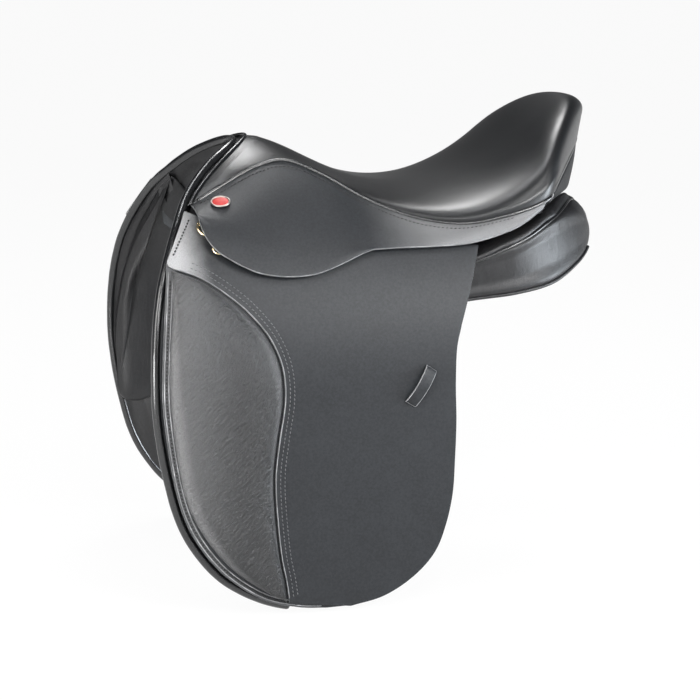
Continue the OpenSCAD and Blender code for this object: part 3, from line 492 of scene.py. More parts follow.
def leaf(name, grid, surface, thickness, materials, bevel=0.45, closed=False):
    """Leather leaf: a grid laid on surface(u, v, depth), extruded inwards and rounded along its cut edge.

    A closed leaf has its last row folded on the middle plane, where its two halves are joined and smoothed.
    """
    bm = bmesh.new()
    bmesh.ops.create_grid(bm, x_segments=grid[0], y_segments=grid[1], size=0.5)
    across = bm.verts.layers.float.new("across")
    down = bm.verts.layers.float.new("down")
    for v in bm.verts:
        v[across], v[down] = v.co.x + 0.5, v.co.y + 0.5
    made = bmesh.ops.extrude_face_region(bm, geom=bm.faces[:], use_keep_orig=True)
    inner = {v for v in made["geom"] if isinstance(v, bmesh.types.BMVert)}
    for v in bm.verts:
        p = surface(share(v[across]), share(v[down]), thickness if v in inner else 0.0)
        v.co = Vector(p) * MM

    def crosses(part):
        """Whether a face or an edge runs from the outer side to the inner one."""
        return len({v in inner for v in part.verts}) == 2

    if closed:
        end = 0.9999
        last = {(v in inner, round(v[down], 5)): v for v in bm.verts if v[across] > end}
        ends = [f for f in bm.faces if crosses(f) and min(v[across] for v in f.verts) > end]
        bmesh.ops.delete(bm, geom=ends, context="FACES")
        onto = {v: last[deep, round(1 - at, 5)] for (deep, at), v in last.items() if at > 0.5001}
        for v in onto.values():
            v.co.y = 0.0
        bmesh.ops.weld_verts(bm, targetmap=onto)
        soften(bm, [v for v in bm.verts if 0.05 < v[down] < 0.95 and v[across] > 0.05], 40)
    walls = [f for f in bm.faces if crosses(f)]
    edge = len(materials) - 1
    for f in walls:
        f.material_index = edge
    bmesh.ops.recalc_face_normals(bm, faces=bm.faces[:])
    rim = dict.fromkeys(e for f in walls for e in f.edges if not crosses(e))
    made = bmesh.ops.bevel(
        bm, geom=list(rim), offset=bevel * thickness * MM, offset_type="OFFSET", segments=3, profile=0.5,
        affect="EDGES", material=-1, clamp_overlap=True,
    )
    for f in made["faces"]:
        f.material_index = edge
    return to_object(bm, name, materials)


def rolled(name, grid, surface, materials, soft=0.0):
    """Closed form: a grid wrapped round surface(u, v), its seam and ends joined, softened this far from the rear."""
    bm = bmesh.new()
    bmesh.ops.create_grid(bm, x_segments=grid[0], y_segments=grid[1], size=0.5)
    for v in bm.verts:
        v.co = Vector(surface(share(v.co.x + 0.5), share(v.co.y + 0.5))) * MM
    bmesh.ops.remove_doubles(bm, verts=bm.verts[:], dist=2e-6)
    if soft:
        rear = max(v.co.x for v in bm.verts) - soft
        soften(bm, [v for v in bm.verts if v.co.x > rear], 14)
    bmesh.ops.recalc_face_normals(bm, faces=bm.faces[:])
    return to_object(bm, name, materials)


def other_side(obj, name):
    """The off-side twin of a near-side piece."""
    bm = bmesh.new()
    bm.from_mesh(obj.data)
    bmesh.ops.scale(bm, vec=(1, -1, 1), verts=bm.verts[:])
    bmesh.ops.reverse_faces(bm, faces=bm.faces[:])
    return to_object(bm, name, obj.data.materials[:])


def pair(stem, make):
    """Near-side and off-side pieces from one maker, by side."""
    near = make(f"{stem}_near")
    return (("near", near), ("off", other_side(near, f"{stem}_off")))


def place(obj, body, slot, *nodes):
    """Puts a piece on a body and hides the nodes that it stands for; the slot is not used."""
    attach(obj, body)
    if nodes:
        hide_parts(*nodes)
    return obj


def both(stem, make, body, slot, *nodes):
    """A pair in its place, where {} in a body or a node stands for the side."""
    return [
        place(obj, body.format(side), slot, *(node.format(side) for node in nodes))
        for side, obj in pair(stem, make)]


def bending(pieces, fixed, moving, line, out, mid, above, below):
    """Leaves that stand for a fixed and a moving node: hides both nodes and bakes each leaf's placement into its
    mesh; the bend line is worked out but not used.
    """
    down = unit(np.cross(line, out))
    down = down if down[2] < 0 else -down
    for side, obj in pieces:
        flip = np.array([1, SIDES[side], 1]) * MM
        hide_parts(f"{fixed}_{side}", f"{moving}_{side}")
        tuple((mid - above * down) * flip)
        tuple((mid + below * down) * flip)
        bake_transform(obj)


def measure(p):
    """Distance along a row of points, at each of them."""
    return np.concatenate([[0], np.cumsum(np.linalg.norm(np.diff(p, axis=0), axis=1))])


def pick(rows, s, at):
    """Values between the rows of a table measured by s."""
    return np.array([np.interp(at, s, rows[:, k]) for k in range(3)])


class Path:
    """A line through points, with an even measure along it and a steady sideways vector."""

    def __init__(self, points, start):
        self.p = np.array(points, float)
        self.s = measure(self.p)
        self.length = self.s[-1]
        t = np.gradient(self.p, axis=0)
        self.t = t / np.linalg.norm(t, axis=1)[:, None]
        side, n = [], np.array(start, float)
        for t in self.t:
            n = unit(n - (n @ t) * t)
            side.append(n)
        self.n = np.array(side)
        self.known = {}

    def at(self, part):
        """Point, direction and two sideways vectors at a part of the length."""
        if part not in self.known:
            s = clamp(part) * self.length
            p, t, n = (pick(rows, self.s, s) for rows in (self.p, self.t, self.n))
            t = unit(t)
            n = unit(n - (n @ t) * t)
            self.known[part] = p, t, n, np.cross(t, n)
        return self.known[part]


def tube(name, path, radius, grid, materials, uneven=0.0):
    """Round cord or roll along a path, with rounded ends."""

    def surface(u, v):
        o, _, n, b = path.at(u)
        end = min(u, 1 - u) * path.length / radius
        r = radius * math.sqrt(clamp(1 - (1 - min(end, 1)) ** 2))
        w = 2 * math.pi * v
        out = math.cos(w) * n + math.sin(w) * b
        p = o + r * out
        return p + out * ruffle(p, 14, uneven * r / radius)

    return rolled(name, grid, surface, materials)


def sew(bm, path, normals, sign, pitch=None, long=None, thick=None):
    """Adds a row of stitches along a path of points, each a slim bead lying a little aslant on the leather."""
    pitch = (pitch or sizes().stitch_pitch) / MM
    long = (long or sizes().stitch_length) / MM
    r = (thick or sizes().thread_radius) / MM
    slant, proud, ahead = 0.10, 0.15, 0.6
    p, n = np.array(path, float), np.array(normals, float)
    s = measure(p)
    flip = np.array([1, sign, 1])
    for i in range(int(s[-1] / pitch)):
        at = (i + 0.5) * pitch
        o, up = pick(p, s, at), unit(pick(n, s, at))
        t = unit(pick(p, s, at + ahead) - pick(p, s, at - ahead))
        b = np.cross(up, t)
        t, b = unit(t + slant * b), unit(b - slant * t)
        m = Matrix.Identity(4)
        for k, (axis, size) in enumerate(((t, long / 2), (b, r), (up, r * 0.8))):
            for j in range(3):
                m[j][k] = axis[j] * size * flip[j] * MM
        for j in range(3):
            m[j][3] = (o[j] + up[j] * proud) * flip[j] * MM
        bmesh.ops.create_uvsphere(bm, u_segments=6, v_segments=4, radius=1.0, matrix=m)


def sewn(name, rows, body, sign, made):
    """One object of all the stitch rows given as (points, normals, settings)."""
    bm = bmesh.new()
    for path, normals, settings in rows:
        sew(bm, path, normals, sign, **settings)
    bmesh.ops.recalc_face_normals(bm, faces=bm.faces[:])
    return place(to_object(bm, name, [made]), body, "bridle_leather")


def on_barrel(outline, d, first=0.0, last=1.0):
    """Points and normals of an outline [x, height] at depth d, over a share of its length."""
    q = [along(outline, t) for t in spread(first, last, 120)]
    return [barrel(*a, d) for a in q], [outward(a[1]) for a in q]


# Finishes.


class Val:
    """A shader value with arithmetic."""

    def __init__(self, nodes, socket):
        self.nodes, self.socket = nodes, socket

    def _math(self, op, *args):
        inputs = {i: a for i, a in enumerate(args)}
        return self.nodes.add("ShaderNodeMath", {"operation": op}, inputs)

    def __add__(self, o):
        return self._math("ADD", self, o)

    __radd__ = __add__

    def __sub__(self, o):
        return self._math("SUBTRACT", self, o)

    def __rsub__(self, o):
        return self._math("SUBTRACT", o, self)

    def __mul__(self, o):
        return self._math("MULTIPLY", self, o)

    __rmul__ = __mul__

    def at_most(self, o):
        return self._math("MINIMUM", self, o)


class Finish:
    """A material and its nodes."""

    def __init__(self, name):
        self.mat = bpy.data.materials.new(name)
        self.mat.use_nodes = True
        self.tree = self.mat.node_tree
        self.tree.nodes.clear()

    def add(self, kind, settings=None, inputs=None, out=0):
        """Adds a node with its settings and the values or links of its sockets, and gives one output."""
        node = self.tree.nodes.new(kind)
        for k, v in (settings or {}).items():
            setattr(node, k, v)
        for k, v in (inputs or {}).items():
            if isinstance(v, Val):
                self.tree.links.new(v.socket, node.inputs[k])
            else:
                node.inputs[k].default_value = v
        return Val(self, node.outputs[out]) if node.outputs else None

    def where(self, scale=(1, 1, 1)):
        """Object coordinates, scaled."""
        at = self.add("ShaderNodeTexCoord", out="Object")
        return self.add("ShaderNodeMapping", None, {"Vector": at, "Scale": scale})

    def slant(self, turn, stretch):
        """Object coordinates drawn out along a line leaning by turn from upright."""
        at = self.add("ShaderNodeTexCoord", out="Object")
        return self.add("ShaderNodeMapping", {"vector_type": "TEXTURE"}, {
            "Vector": at, "Scale": (1, 1, stretch), "Rotation": (0, turn, 0)})

    def cloud(self, where, scale, detail=4.0, rough=0.6):
        return self.add("ShaderNodeTexNoise", None, {
            "Vector": where, "Scale": scale, "Detail": detail, "Roughness": rough})

    def cells(self, where, scale, feature="F1"):
        return self.add("ShaderNodeTexVoronoi", {"feature": feature}, {"Vector": where, "Scale": scale}, "Distance")

    def wave(self, where, scale, direction="X", distortion=0.0, detail=2.0):
        return self.add("ShaderNodeTexWave", {"wave_type": "BANDS", "bands_direction": direction}, {
            "Vector": where, "Scale": scale, "Distortion": distortion, "Detail": detail}, "Fac")

    def step(self, value, lo, hi):
        """0 below lo, 1 above hi, smooth between them."""
        return self.add("ShaderNodeMapRange", {"interpolation_type": "SMOOTHSTEP"}, {
            "Value": value, "From Min": lo, "From Max": hi})

    def blend(self, factor, a, b):
        return self.add("ShaderNodeMix", {"data_type": "RGBA"}, {0: factor, 6: a, 7: b}, out=2)

    def bump(self, height, strength, distance, normal=None):
        inputs = {"Height": height, "Strength": strength, "Distance": distance}
        if normal:
            inputs["Normal"] = normal
        return self.add("ShaderNodeBump", None, inputs)

    def surface(self, **inputs):
        shader = self.add("ShaderNodeBsdfPrincipled", None, {k.replace("_", " "): v for k, v in inputs.items()})
        self.add("ShaderNodeOutputMaterial", None, {"Surface": shader})
        return self.mat


def rgba(c, k=1.0):
    """A colour, k times as bright."""
    return (c[0] * k, c[1] * k, c[2] * k, 1.0)


class Leather(NamedTuple):
    """A leather: its label, the colour it takes, and its look.

    Two entries paint highlights: each is (amount, start, full), one along x and one across the leaf, where the
    colour is made paler.
    """

    label: str
    colour: str
    rough: float
    pore: float
    pore_depth: float
    crease: float
    sheen: float
    rub: tuple = ()
    wrinkle: float = 0.0
    wear_and_painted_highlight: tuple = ()


LEATHERS = {
    "bridle": Leather("Smooth flap leather", "bridle", 0.45, 1500.0, 0.18, 0.03, 0.34),
    # Flap: its front painted paler as a highlight.
    "flap": Leather("Rubbed flap leather", "bridle", 0.45, 1500.0, 0.18, 0.03, 0.36, rub=(0.85, -0.192, -0.232)),
    # Rim: the strip along the backing's front edge painted paler as a highlight.
    "rim": Leather("Rim leather with painted highlight", "bridle", 0.42, 1500.0, 0.18, 0.03, 0.36, wear_and_painted_highlight=((0.14, 0.036, 0.024),)),
    # Skirt: its rear part painted paler as a highlight.
    "skirt": Leather("Skirt leather with painted highlight", "bridle", 0.45, 1500.0, 0.18, 0.03, 0.36, rub=(0.36, -0.04, 0.05)),
    "seat": Leather("Soft seat leather", "seat", 0.33, 1200.0, 0.08, 0.03, 0.5),
    "cantle": Leather("Matt cantle leather", "seat", 0.55, 1200.0, 0.12, 0.05, 0.22),
    "piping": Leather("Burnished piping leather", "seat", 0.20, 1000.0, 0.10, 0.03, 0.9),
    # Knee pad: its front and both rounded shoulders painted paler as highlights.
    "pad": Leather("Grained pad leather", "grain", 0.31, 820.0, 0.40, 0.08, 0.6, rub=(0.16, -0.165, -0.250),
                   wrinkle=1.0, wear_and_painted_highlight=((0.22, 0.14, 0.02), (0.14, 0.90, 0.97))),
    "panel": Leather("Creased panel leather", "panel", 0.36, 900.0, 0.24, 0.30, 0.5),
}
# Pale grey that the painted highlights blend towards.
PAINTED_HIGHLIGHT_GREY = (0.40, 0.40, 0.405, 1.0)


@functools.cache
def hide(kind):
    """Leather: mottled dye, pores of a given fineness, soft creases, and paler colour painted in as highlights where
    the look asks for them.
    """
    look = LEATHERS[kind]
    dye = getattr(colours(), look.colour)
    f = Finish(look.label)
    at = f.where()
    mottle = f.cloud(at, 26.0, 5.0)
    fine = f.cloud(at, 420.0, 3.0)
    speck = f.cloud(at, 380.0, rough=0.7)
    folds = f.cloud(f.where((9.0, 9.0, 3.2)), 5.0, rough=0.55)
    pits = f.step(f.cells(at, look.pore, "DISTANCE_TO_EDGE"), 0.0, 0.16)
    tone = f.step(0.2 * mottle + 0.8 * speck, 0.36, 0.64)
    colour = f.blend(tone, rgba(dye, 0.72), rgba(dye, 1.28))
    # Masks of the painted highlights: along x, and across the leaf.
    painted_highlights = []
    if look.rub:
        amount, start, full = look.rub
        x = f.add("ShaderNodeSeparateXYZ", None, {"Vector": at}, "X")
        painted_highlights.append(f.step(x + 0.02 * mottle, start, full) * amount)
    for amount, start, full in look.wear_and_painted_highlight:
        across = f.add("ShaderNodeAttribute", {"attribute_name": "across"}, out="Fac")
        painted_highlights.append(f.step(across + 0.03 * mottle - 0.015, start, full) * amount)
    if painted_highlights:
        # Paints the highlights in: the colour turns pale grey where the masks lie.
        colour = f.blend(sum(painted_highlights[1:], painted_highlights[0]).at_most(1.0), colour, PAINTED_HIGHLIGHT_GREY)
    colour = f.blend((1 - pits) * 0.45, colour, rgba(dye, 0.45))
    roughness = look.rough - 0.03 + 0.06 * mottle + 0.05 * (1 - pits)
    normal = f.bump(folds, look.crease, 0.004)
    if look.wrinkle:
        normal = f.bump(f.cloud(f.slant(0.7, 2.6), 340.0), look.wrinkle, 0.0030, normal)
    normal = f.bump(pits * 0.7 + fine * 0.5, look.pore_depth, 0.0004, normal)
    return f.surface(Base_Color=colour, Roughness=roughness, Normal=normal, Specular_IOR_Level=look.sheen)


# Cut edges and slim beads: the pale grey is a painted highlight, with random paler patches of wear over it.
@functools.cache
def cut_edge():
    f = Finish("Cut edge with painted highlight")
    grain = f.cloud(f.where(), 900.0)
    wear_and_painted_highlight = f.step(f.cloud(f.where(), 60.0), 0.4, 0.75)
    col = f.blend(wear_and_painted_highlight, rgba(colours().edge, 0.7), rgba(colours().edge, 1.6))
    return f.surface(
        Base_Color=col, Roughness=0.30 + 0.12 * grain, Normal=f.bump(grain, 0.12, 0.0003), Specular_IOR_Level=0.6)


@functools.cache
def thread(label, colour):
    """Twisted and waxed sewing thread."""
    f = Finish(label)
    dye = getattr(colours(), colour)
    twist = f.wave(f.where(), 900.0, "DIAGONAL", 1.0)
    col = f.blend(twist, rgba(dye, 0.6), rgba(dye, 1.4))
    return f.surface(Base_Color=col, Roughness=0.5 + 0.1 * twist, Normal=f.bump(twist, 0.3, 0.0002))


# Metals: label, colour, roughness and share of dull marks.
METALS = {
    "brass": ("Pale brass wire", (0.86, 0.72, 0.47), 0.18, 0.4),
    "steel": ("Satin steel", (0.60, 0.61, 0.63), 0.30, 0.5),
    "rim": ("Bright rim", (0.42, 0.37, 0.34), 0.32, 0.3),
}


@functools.cache
def metal(kind):
    """Polished metal with drawn lines and dull marks."""
    label, colour, rough, dull = METALS[kind]
    f = Finish(label)
    lines = f.cloud(f.where((60.0, 60.0, 4.0)), 40.0, 3.0)
    marks = f.step(f.cloud(f.where(), 240.0, 5.0, 0.62), 0.55, 0.72)
    col = f.blend(marks * dull, rgba(colour), rgba(colour, 0.6))
    return f.surface(
        Base_Color=col, Metallic=1.0, Roughness=rough + 0.10 * lines + 0.12 * marks,
        Normal=f.bump(lines, 0.05, 0.0002))


@functools.cache
def enamel():
    f = Finish("Red enamel")
    cloudy = f.cloud(f.where(), 300.0)
    col = f.blend(f.step(cloudy, 0.35, 0.7), rgba(colours().enamel, 0.8), rgba(colours().enamel, 1.15))
    return f.surface(
        Base_Color=col, Roughness=0.42 + 0.06 * cloudy, Normal=f.bump(cloudy, 0.06, 0.0003),
        Specular_IOR_Level=0.3)


@functools.cache
def beech():
    f = Finish("Dark sealed beech")
    rings = f.wave(f.where((1.0, 6.0, 14.0)), 12.0, "X", 3.0, 3.0)
    col = f.blend(rings, (0.030, 0.022, 0.016, 1), (0.050, 0.036, 0.025, 1))
    return f.surface(Base_Color=col, Roughness=0.42 + 0.1 * rings, Normal=f.bump(rings, 0.1, 0.0004))


@functools.cache
def canvas():
    f = Finish("Canvas web")
    a, b = (f.wave(f.where(), 260.0, direction) for direction in "XZ")
    weave = a * b + (1 - a) * (1 - b)
    col = f.blend(weave, (0.045, 0.042, 0.037, 1), (0.085, 0.080, 0.070, 1))
    return f.surface(Base_Color=col, Roughness=0.75 + 0.1 * weave, Normal=f.bump(weave, 0.4, 0.0005))


@functools.cache
def foam():
    f = Finish("Cushion foam")
    pores = f.cells(f.where(), 700.0)
    col = f.blend(pores, (0.020, 0.020, 0.021, 1), (0.040, 0.040, 0.042, 1))
    return f.surface(Base_Color=col, Roughness=0.85 + 0.1 * pores, Normal=f.bump(pores, 0.4, 0.0006))


def pale(name, shine):
    """White to the camera, and in reflections by the given share; elsewhere matt, so that it takes shadows."""
    f = Finish(name)
    camera, glossy, through = (
        f.add("ShaderNodeLightPath", out=f"Is {kind} Ray") for kind in ("Camera", "Glossy", "Transmission"))
    matt = f.add("ShaderNodeBsdfDiffuse", None, {"Color": (0.92, 0.92, 0.92, 1)})
    glow = f.add("ShaderNodeEmission", None, {"Color": (1, 1, 1, 1), "Strength": 1.0})
    seen = (camera + glossy * shine + through).at_most(1.0) * 0.95
    mixed = f.add("ShaderNodeMixShader", None, {0: seen, 1: matt, 2: glow})
    f.add("ShaderNodeOutputMaterial", None, {"Surface": mixed})
    return f.mat


# Pieces.


# Parts of the seat that the cover and the foam fill: first station, last station and share of the half width.
COVER_PART = (0.03, SEAT_LAST, 0.985)
FOAM_PART = (0.5, 13.5, 0.86)
FOAM_GAP = 3.4


def on_seat(part, u, v):
    """Station, and place across, at u and v of a part of the seat."""
    first, last, half = part
    return mix(first, last, u), half * (2 * v - 1)


def cover(u, v, d):
    """Seat cover: u from the pommel to the cantle, v across."""
    t, w = on_seat(COVER_PART, u, v)
    p = seat_point(t, w)
    return p - (d - ruffle(p, 60, 0.5)) * seat_normal(t, w)


def core(u, v, d):
    """Foam under the cover, thinner at the pommel."""
    t, w = on_seat(FOAM_PART, u, v)
    deep = mix(FOAM_T / 2, FOAM_T, smooth(t / 4))
    return seat_point(t, w) - (FOAM_GAP + d / FOAM_T * deep) * seat_normal(t, w)


class SADDLE_OT_seat(bpy.types.Operator):
    """Make the seat cover and the foam under it"""

    bl_idname = "saddle.seat"
    bl_label = "Seat"

    def execute(self, context):
        seat = leaf("seat_cover_skin", (150, 90), cover, COVER_T, [hide("seat"), cut_edge()], closed=True)
        place(seat, "saddle", "seat_leather", "seat_cover")
        fill = leaf("seat_foam_core", (60, 36), core, FOAM_T, [foam()], bevel=0.15)
        place(fill, "saddle", "foam", "seat_foam")
        return {"FINISHED"}


class SADDLE_OT_welts(bpy.types.Operator):
    """Make the piping on the seat's front and seams and the welts on the panels"""

    bl_idname = "saddle.welts"
    bl_label = "Welts"

    def execute(self, context):
        on_edge = np.array([-0.6, 0, 0.2])
        front = Path([seat_point(0, v) + on_edge for v in spread(-1, 1, 120)], (1, 0, 0))
        place(tube("pommel_piping", front, WELT_R, (220, 14), [hide("piping")], uneven=0.12), "saddle",
              "seat_leather", "pommel_welt")
        side = Path([seam(t) for t in spread(0.25, SEAM_CORNER - 0.1, 120)], (0, 0, 1))
        both("seat_piping", lambda name: tube(name, side, WELT_R, (260, 14), [hide("piping")], uneven=0.12),
             "saddle", "seat_leather", "seat_welt_{}")
        low = []
        for s in spread(6.4, 11.2, 80):
            ring = panel_points(s)
            outer, inner = ring_point(ring, 3.0), ring_point(ring, 8.0)
            low.append(outer + 0.9 * unit(outer - inner))
        low = Path(low, (0, 0, 1))
        both("panel_piping", lambda name: tube(name, low, PANEL_WELT_R, (160, 12), [hide("panel")], uneven=0.1),
             "saddle", "bridle_leather", "panel_welt_{}")
        return {"FINISHED"}


def to_side(q, w):
    """A near-side point, mirrored where w is on the off side."""
    return np.array([q[0], q[1] if w < 0 else -q[1], q[2]])


def roll_top(w):
    """Upper part of the front roll's line, on the near side, from its middle at w = 0 down to w = 1."""
    i, arch_end = abs(w) * 5.5, len(ROLL_ARCH) - 1
    if i < arch_end:
        return curve(ROLL_ARCH, i)
    return barrel(*curve(ROLL_EDGE, (i - arch_end) / 1.5), SWEAT_OUT / 2)


def pommel(u, v, d):
    """Facing from the seat's front edge to the front roll, a little hollow."""
    w = 2 * u - 1
    q = mix(seat_point(0, -abs(w) * 0.97), roll_top(w), mix(0.06, 0.94, v))
    up = unit(np.array([-0.35, 0.75 * q[1] / 60, 0.9]))
    return to_side(q - (d + 1.6 * math.sin(math.pi * v)) * up, w)


@functools.lru_cache(maxsize=4096)
def rear_lines(w):
    """Seam and lower edge behind the cantle, at w from side to side, rounded over the middle."""
    a = b = 0
    for k, part in ((-2, 1), (-1, 4), (0, 6), (1, 4), (2, 1)):
        q = w + 0.07 * k * (1 - abs(w))
        flip = np.array([1, 1 if q < 0 else -1, 1]) * part / 16
        a = a + flip * seam(mix(SEAT_LAST, SEAM_CORNER + 0.05, abs(q)))
        b = b + flip * along(CANTLE_LOW, 1 - abs(q))
    return a, b


def behind(y):
    """Direction out of the cantle's back at y."""
    return unit(np.array([0.7, y / 150, 0.25]))


def cantle(u, v, d):
    """Facing behind the cantle, tucked under the cover at its top."""
    a, b = rear_lines(2 * u - 1)
    q = mix(a, b, mix(-0.10, 1.06, v)) + 2.2 * math.sin(math.pi * clamp(v)) * np.array([0.6, 0, 0.3])
    tuck = 1.2 * smooth(1 - v / 0.12)
    return q - (d + tuck) * behind(q[1])


def cantle_lining(u, v, d):
    """Lining from the facing's lower edge down to the panels."""
    w = 2 * u - 1
    a, b = rear_lines(w)
    top = mix(a, b, 0.9) - 4 * behind(b[1])
    low = np.array([b[0] - 9, b[1] * 0.96, mix(71, 78, abs(w))])
    q = mix(top, low, v) + 3 * math.sin(math.pi * v) * np.array([-0.8, 0, 0])
    return q - np.array([d, 0, 0]) + np.array([ruffle(q, 22, 0.8), 0, 0])


# Ridge of the pommel lining: stations of the panel beside it, and its x and height at each.
RIDGE_S = (1, 2, 3, 4, 5, 6)
RIDGE_X = (-150, -143, -128, -100, -50, 5)
RIDGE_Z = (130, 114, 104, 98, 72, 66)


def pommel_lining(u, v, d):
    """Vault under the pommel, from the panels' inner sides over the ridge, drawn forward to the front roll."""
    w = 2 * u - 1
    rim_start = 0.84
    s = mix(RIDGE_S[-1], RIDGE_S[0], clamp(v / rim_start))
    ring = panel_points(s)
    end = 0.75 * ring[8] + 0.25 * sum(ring) / len(ring)
    x, z = np.interp(s, RIDGE_S, RIDGE_X), np.interp(s, RIDGE_S, RIDGE_Z)
    turn = abs(w) * math.pi / 2
    across, up = math.sin(turn), math.cos(turn)
    q = np.array([mix(x, end[0], across * across), end[1] * across, mix(end[2], z, up)])
    rim = roll_top(w) + np.array([2.5, 0, -2.0])
    q = mix(q, rim, smooth((v - rim_start) / (1 - rim_start)))
    return to_side(q + unit(np.array([0, q[1] / 120, 1.0])) * (d + ruffle(q, 20, 1.2)), w)


def channel(u, v, d):
    """Lining over the channel between the panels, a little arched."""
    k = curve(PANEL_KEYS, mix(5, 11, u))
    half, q = k[10] - 1, 2 * v - 1
    p = np.array([k[0], q * half, k[11] + 1 + 2 * (1 - q * q) - d])
    return p + np.array([0, 0, ruffle(p, 30, 0.6)])


class SADDLE_OT_facings(bpy.types.Operator):
    """Make the leather at the pommel and behind the cantle, and the linings under them and over the channel"""

    bl_idname = "saddle.facings"
    bl_label = "Facings"

    def execute(self, context):
        place(leaf("pommel_facing_skin", (120, 8), pommel, POMMEL_T, [hide("seat"), cut_edge()]), "saddle",
              "seat_leather", "pommel_facing")
        place(leaf("cantle_facing_skin", (120, 20), cantle, CANTLE_T, [hide("cantle"), cut_edge()]), "saddle",
              "seat_leather", "cantle_facing")
        place(leaf("cantle_lining", (90, 16), cantle_lining, LINING_T, [hide("panel")]), "saddle", "panel_leather")
        place(leaf("pommel_lining", (100, 70), pommel_lining, LINING_T, [hide("panel")]), "saddle", "panel_leather")
        place(leaf("channel_lining", (80, 24), channel, CHANNEL_T, [hide("panel"), cut_edge()]), "saddle",
              "panel_leather", "gullet_lining")
        return {"FINISHED"}


class SADDLE_OT_skirts(bpy.types.Operator):
    """Make each skirt with its lobe as one leaf, rounded over the fold"""

    bl_idname = "saddle.skirts"
    bl_label = "Skirts"

    def execute(self, context):
        def leather(u, v, d):
            return skirt_leaf(mix(0.004, 1.96, u), v, d)

        leaves = pair("skirt_leaf", lambda name: leaf(
            name, (170, 44), leather, SKIRT_T, [hide("skirt"), cut_edge()]))
        mid = (FOLD_A + FOLD_B) / 2
        bending(leaves, "skirt", "skirt_lobe", FOLD_B - FOLD_A, SKIRT_DIR, mid, above=4, below=7)
        return {"FINISHED"}


# Height of the middle of the flap's fold, and how far out its straight line lies at its ends.
FOLD_HEIGHT, FOLD_OUT = 7.7, FLAP_OUT + 3.2

FACING_SHEET = between(np.vstack([FLAP_FOLD[0] - np.array([0, 0.6]), PAD_EDGE]), FLAP_REAR)
BACKING_SHEET = between(FLAP_FRONT, FLAP_REAR)


def flap_leather(u, v, d):
    """Fixed top and facing as one leaf: u front to rear, v from the top edge to the bottom."""
    cut = 0.2
    if v < cut:
        p = mix(along(YOKE_TOP, u), mix(*FLAP_FOLD, u), v / cut)
    else:
        p = FACING_SHEET(u, (v - cut) / (1 - cut))
    q = barrel(*p, FLAP_OUT - d)
    return q + outward(p[1]) * ruffle(q, 70, 0.35)


def backing(u, v, d):
    """Leaf under the facing, whose front edge shows as the flap's rim."""
    p = BACKING_SHEET(u, v) - np.array([0, 0.6]) * (1 - v)
    return barrel(*p, RIM_OUT - d)


class SADDLE_OT_flaps(bpy.types.Operator):
    """Make each flap: the backing leaf and the facing, one leaf with the fixed top"""

    bl_idname = "saddle.flaps"
    bl_label = "Flaps"

    def execute(self, context):
        leaves = pair("flap_facing_leaf", lambda name: leaf(
            name, (90, 130), flap_leather, FACING_T, [hide("flap"), cut_edge()]))
        front, rear = (barrel(*end, FOLD_OUT) for end in FLAP_FOLD)
        mid = (barrel(*mix(*FLAP_FOLD, 0.5), FLAP_OUT) + (front + rear) / 2) / 2
        out = outward(FOLD_HEIGHT)
        bending(leaves, "flap_yoke", "flap_facing", rear - front, out, mid, above=6, below=8)
        both("flap_backing", lambda name: leaf(name, (60, 120), backing, BACKING_T, [hide("rim"), cut_edge()]),
             "flap_{}", "bridle_leather", "flap_{}")
        return {"FINISHED"}


PAD_SHEET = between(PAD_FRONT, moved(PAD_EDGE, -2.2))


def pad(u, v, d):
    """Knee block: full in the middle, falling to the seam, with fine slanting folds."""
    p = PAD_SHEET(u, v)
    if d:
        return barrel(*p, FACING_IN - 0.8)
    a, b = abs(2 * u - 1), abs(2 * v - 1)
    full = max(1 - a ** 4, 0) ** 0.6 * max(1 - b ** 9, 0) ** 0.6
    q = barrel(*p, FACING_IN)
    fold = np.array([(q[0] - q[2]) * 1.3, 0, (q[0] + q[2]) * 0.5])
    rise = (PAD_CROWN + 0.2) * full - 0.2 + full * (ruffle(q, 22, 0.5) + ruffle(fold, 6, 0.30))
    return barrel(*p, FACING_IN + rise)


class SADDLE_OT_knee_pads(bpy.types.Operator):
    """Make the padded knee blocks, full in the middle and drawn in at the seam"""

    bl_idname = "saddle.knee_pads"
    bl_label = "Knee pads"

    def execute(self, context):
        for obj in both("knee_pad_skin", lambda name: leaf(name, (90, 190), pad, PAD_T, [hide("pad")], bevel=0.3),
                        "flap_{}", "grain_leather", "knee_pad_{}"):
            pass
        return {"FINISHED"}


# Ends of the keeper on the flap, its width and how far it stands out for the leather to pass.
KEEPER = pts((9.5, -63.5), (-12.5, -98.0))
KEEPER_W, KEEPER_RISE = 12, 6


def keeper(u, v, d):
    """Loop across the flap: u over its width, v from end to end."""
    p = mix(*KEEPER, v) + (u - 0.5) * KEEPER_W * aside(unit(KEEPER[1] - KEEPER[0]))
    lift = KEEPER_RISE * math.sin(math.pi * clamp(v)) ** 0.6
    return barrel(*p, FLAP_OUT + 2.2 + lift - d)


class SADDLE_OT_keepers(bpy.types.Operator):
    """Make the keeper loops that hold the ends of the stirrup leathers"""

    bl_idname = "saddle.keepers"
    bl_label = "Keepers"

    def execute(self, context):
        both("keeper_loop", lambda name: leaf(name, (12, 40), keeper, KEEPER_T, [hide("bridle"), cut_edge()]),
             "flap_{}", "bridle_leather", "keeper_{}")
        return {"FINISHED"}


SWEAT_SHEET = between(np.vstack([moved(ROLL_EDGE, ROLL_R - 0.6)[3:], [(-101.5, -299.5)]]), SWEAT_REAR)


def sweat_leather(u, v, d):
    """Sweat flap, from the front roll to its rear edge."""
    p = SWEAT_SHEET(u, v)
    q = barrel(*p, SWEAT_OUT - d)
    return q + outward(p[1]) * ruffle(q, 80, 0.25)


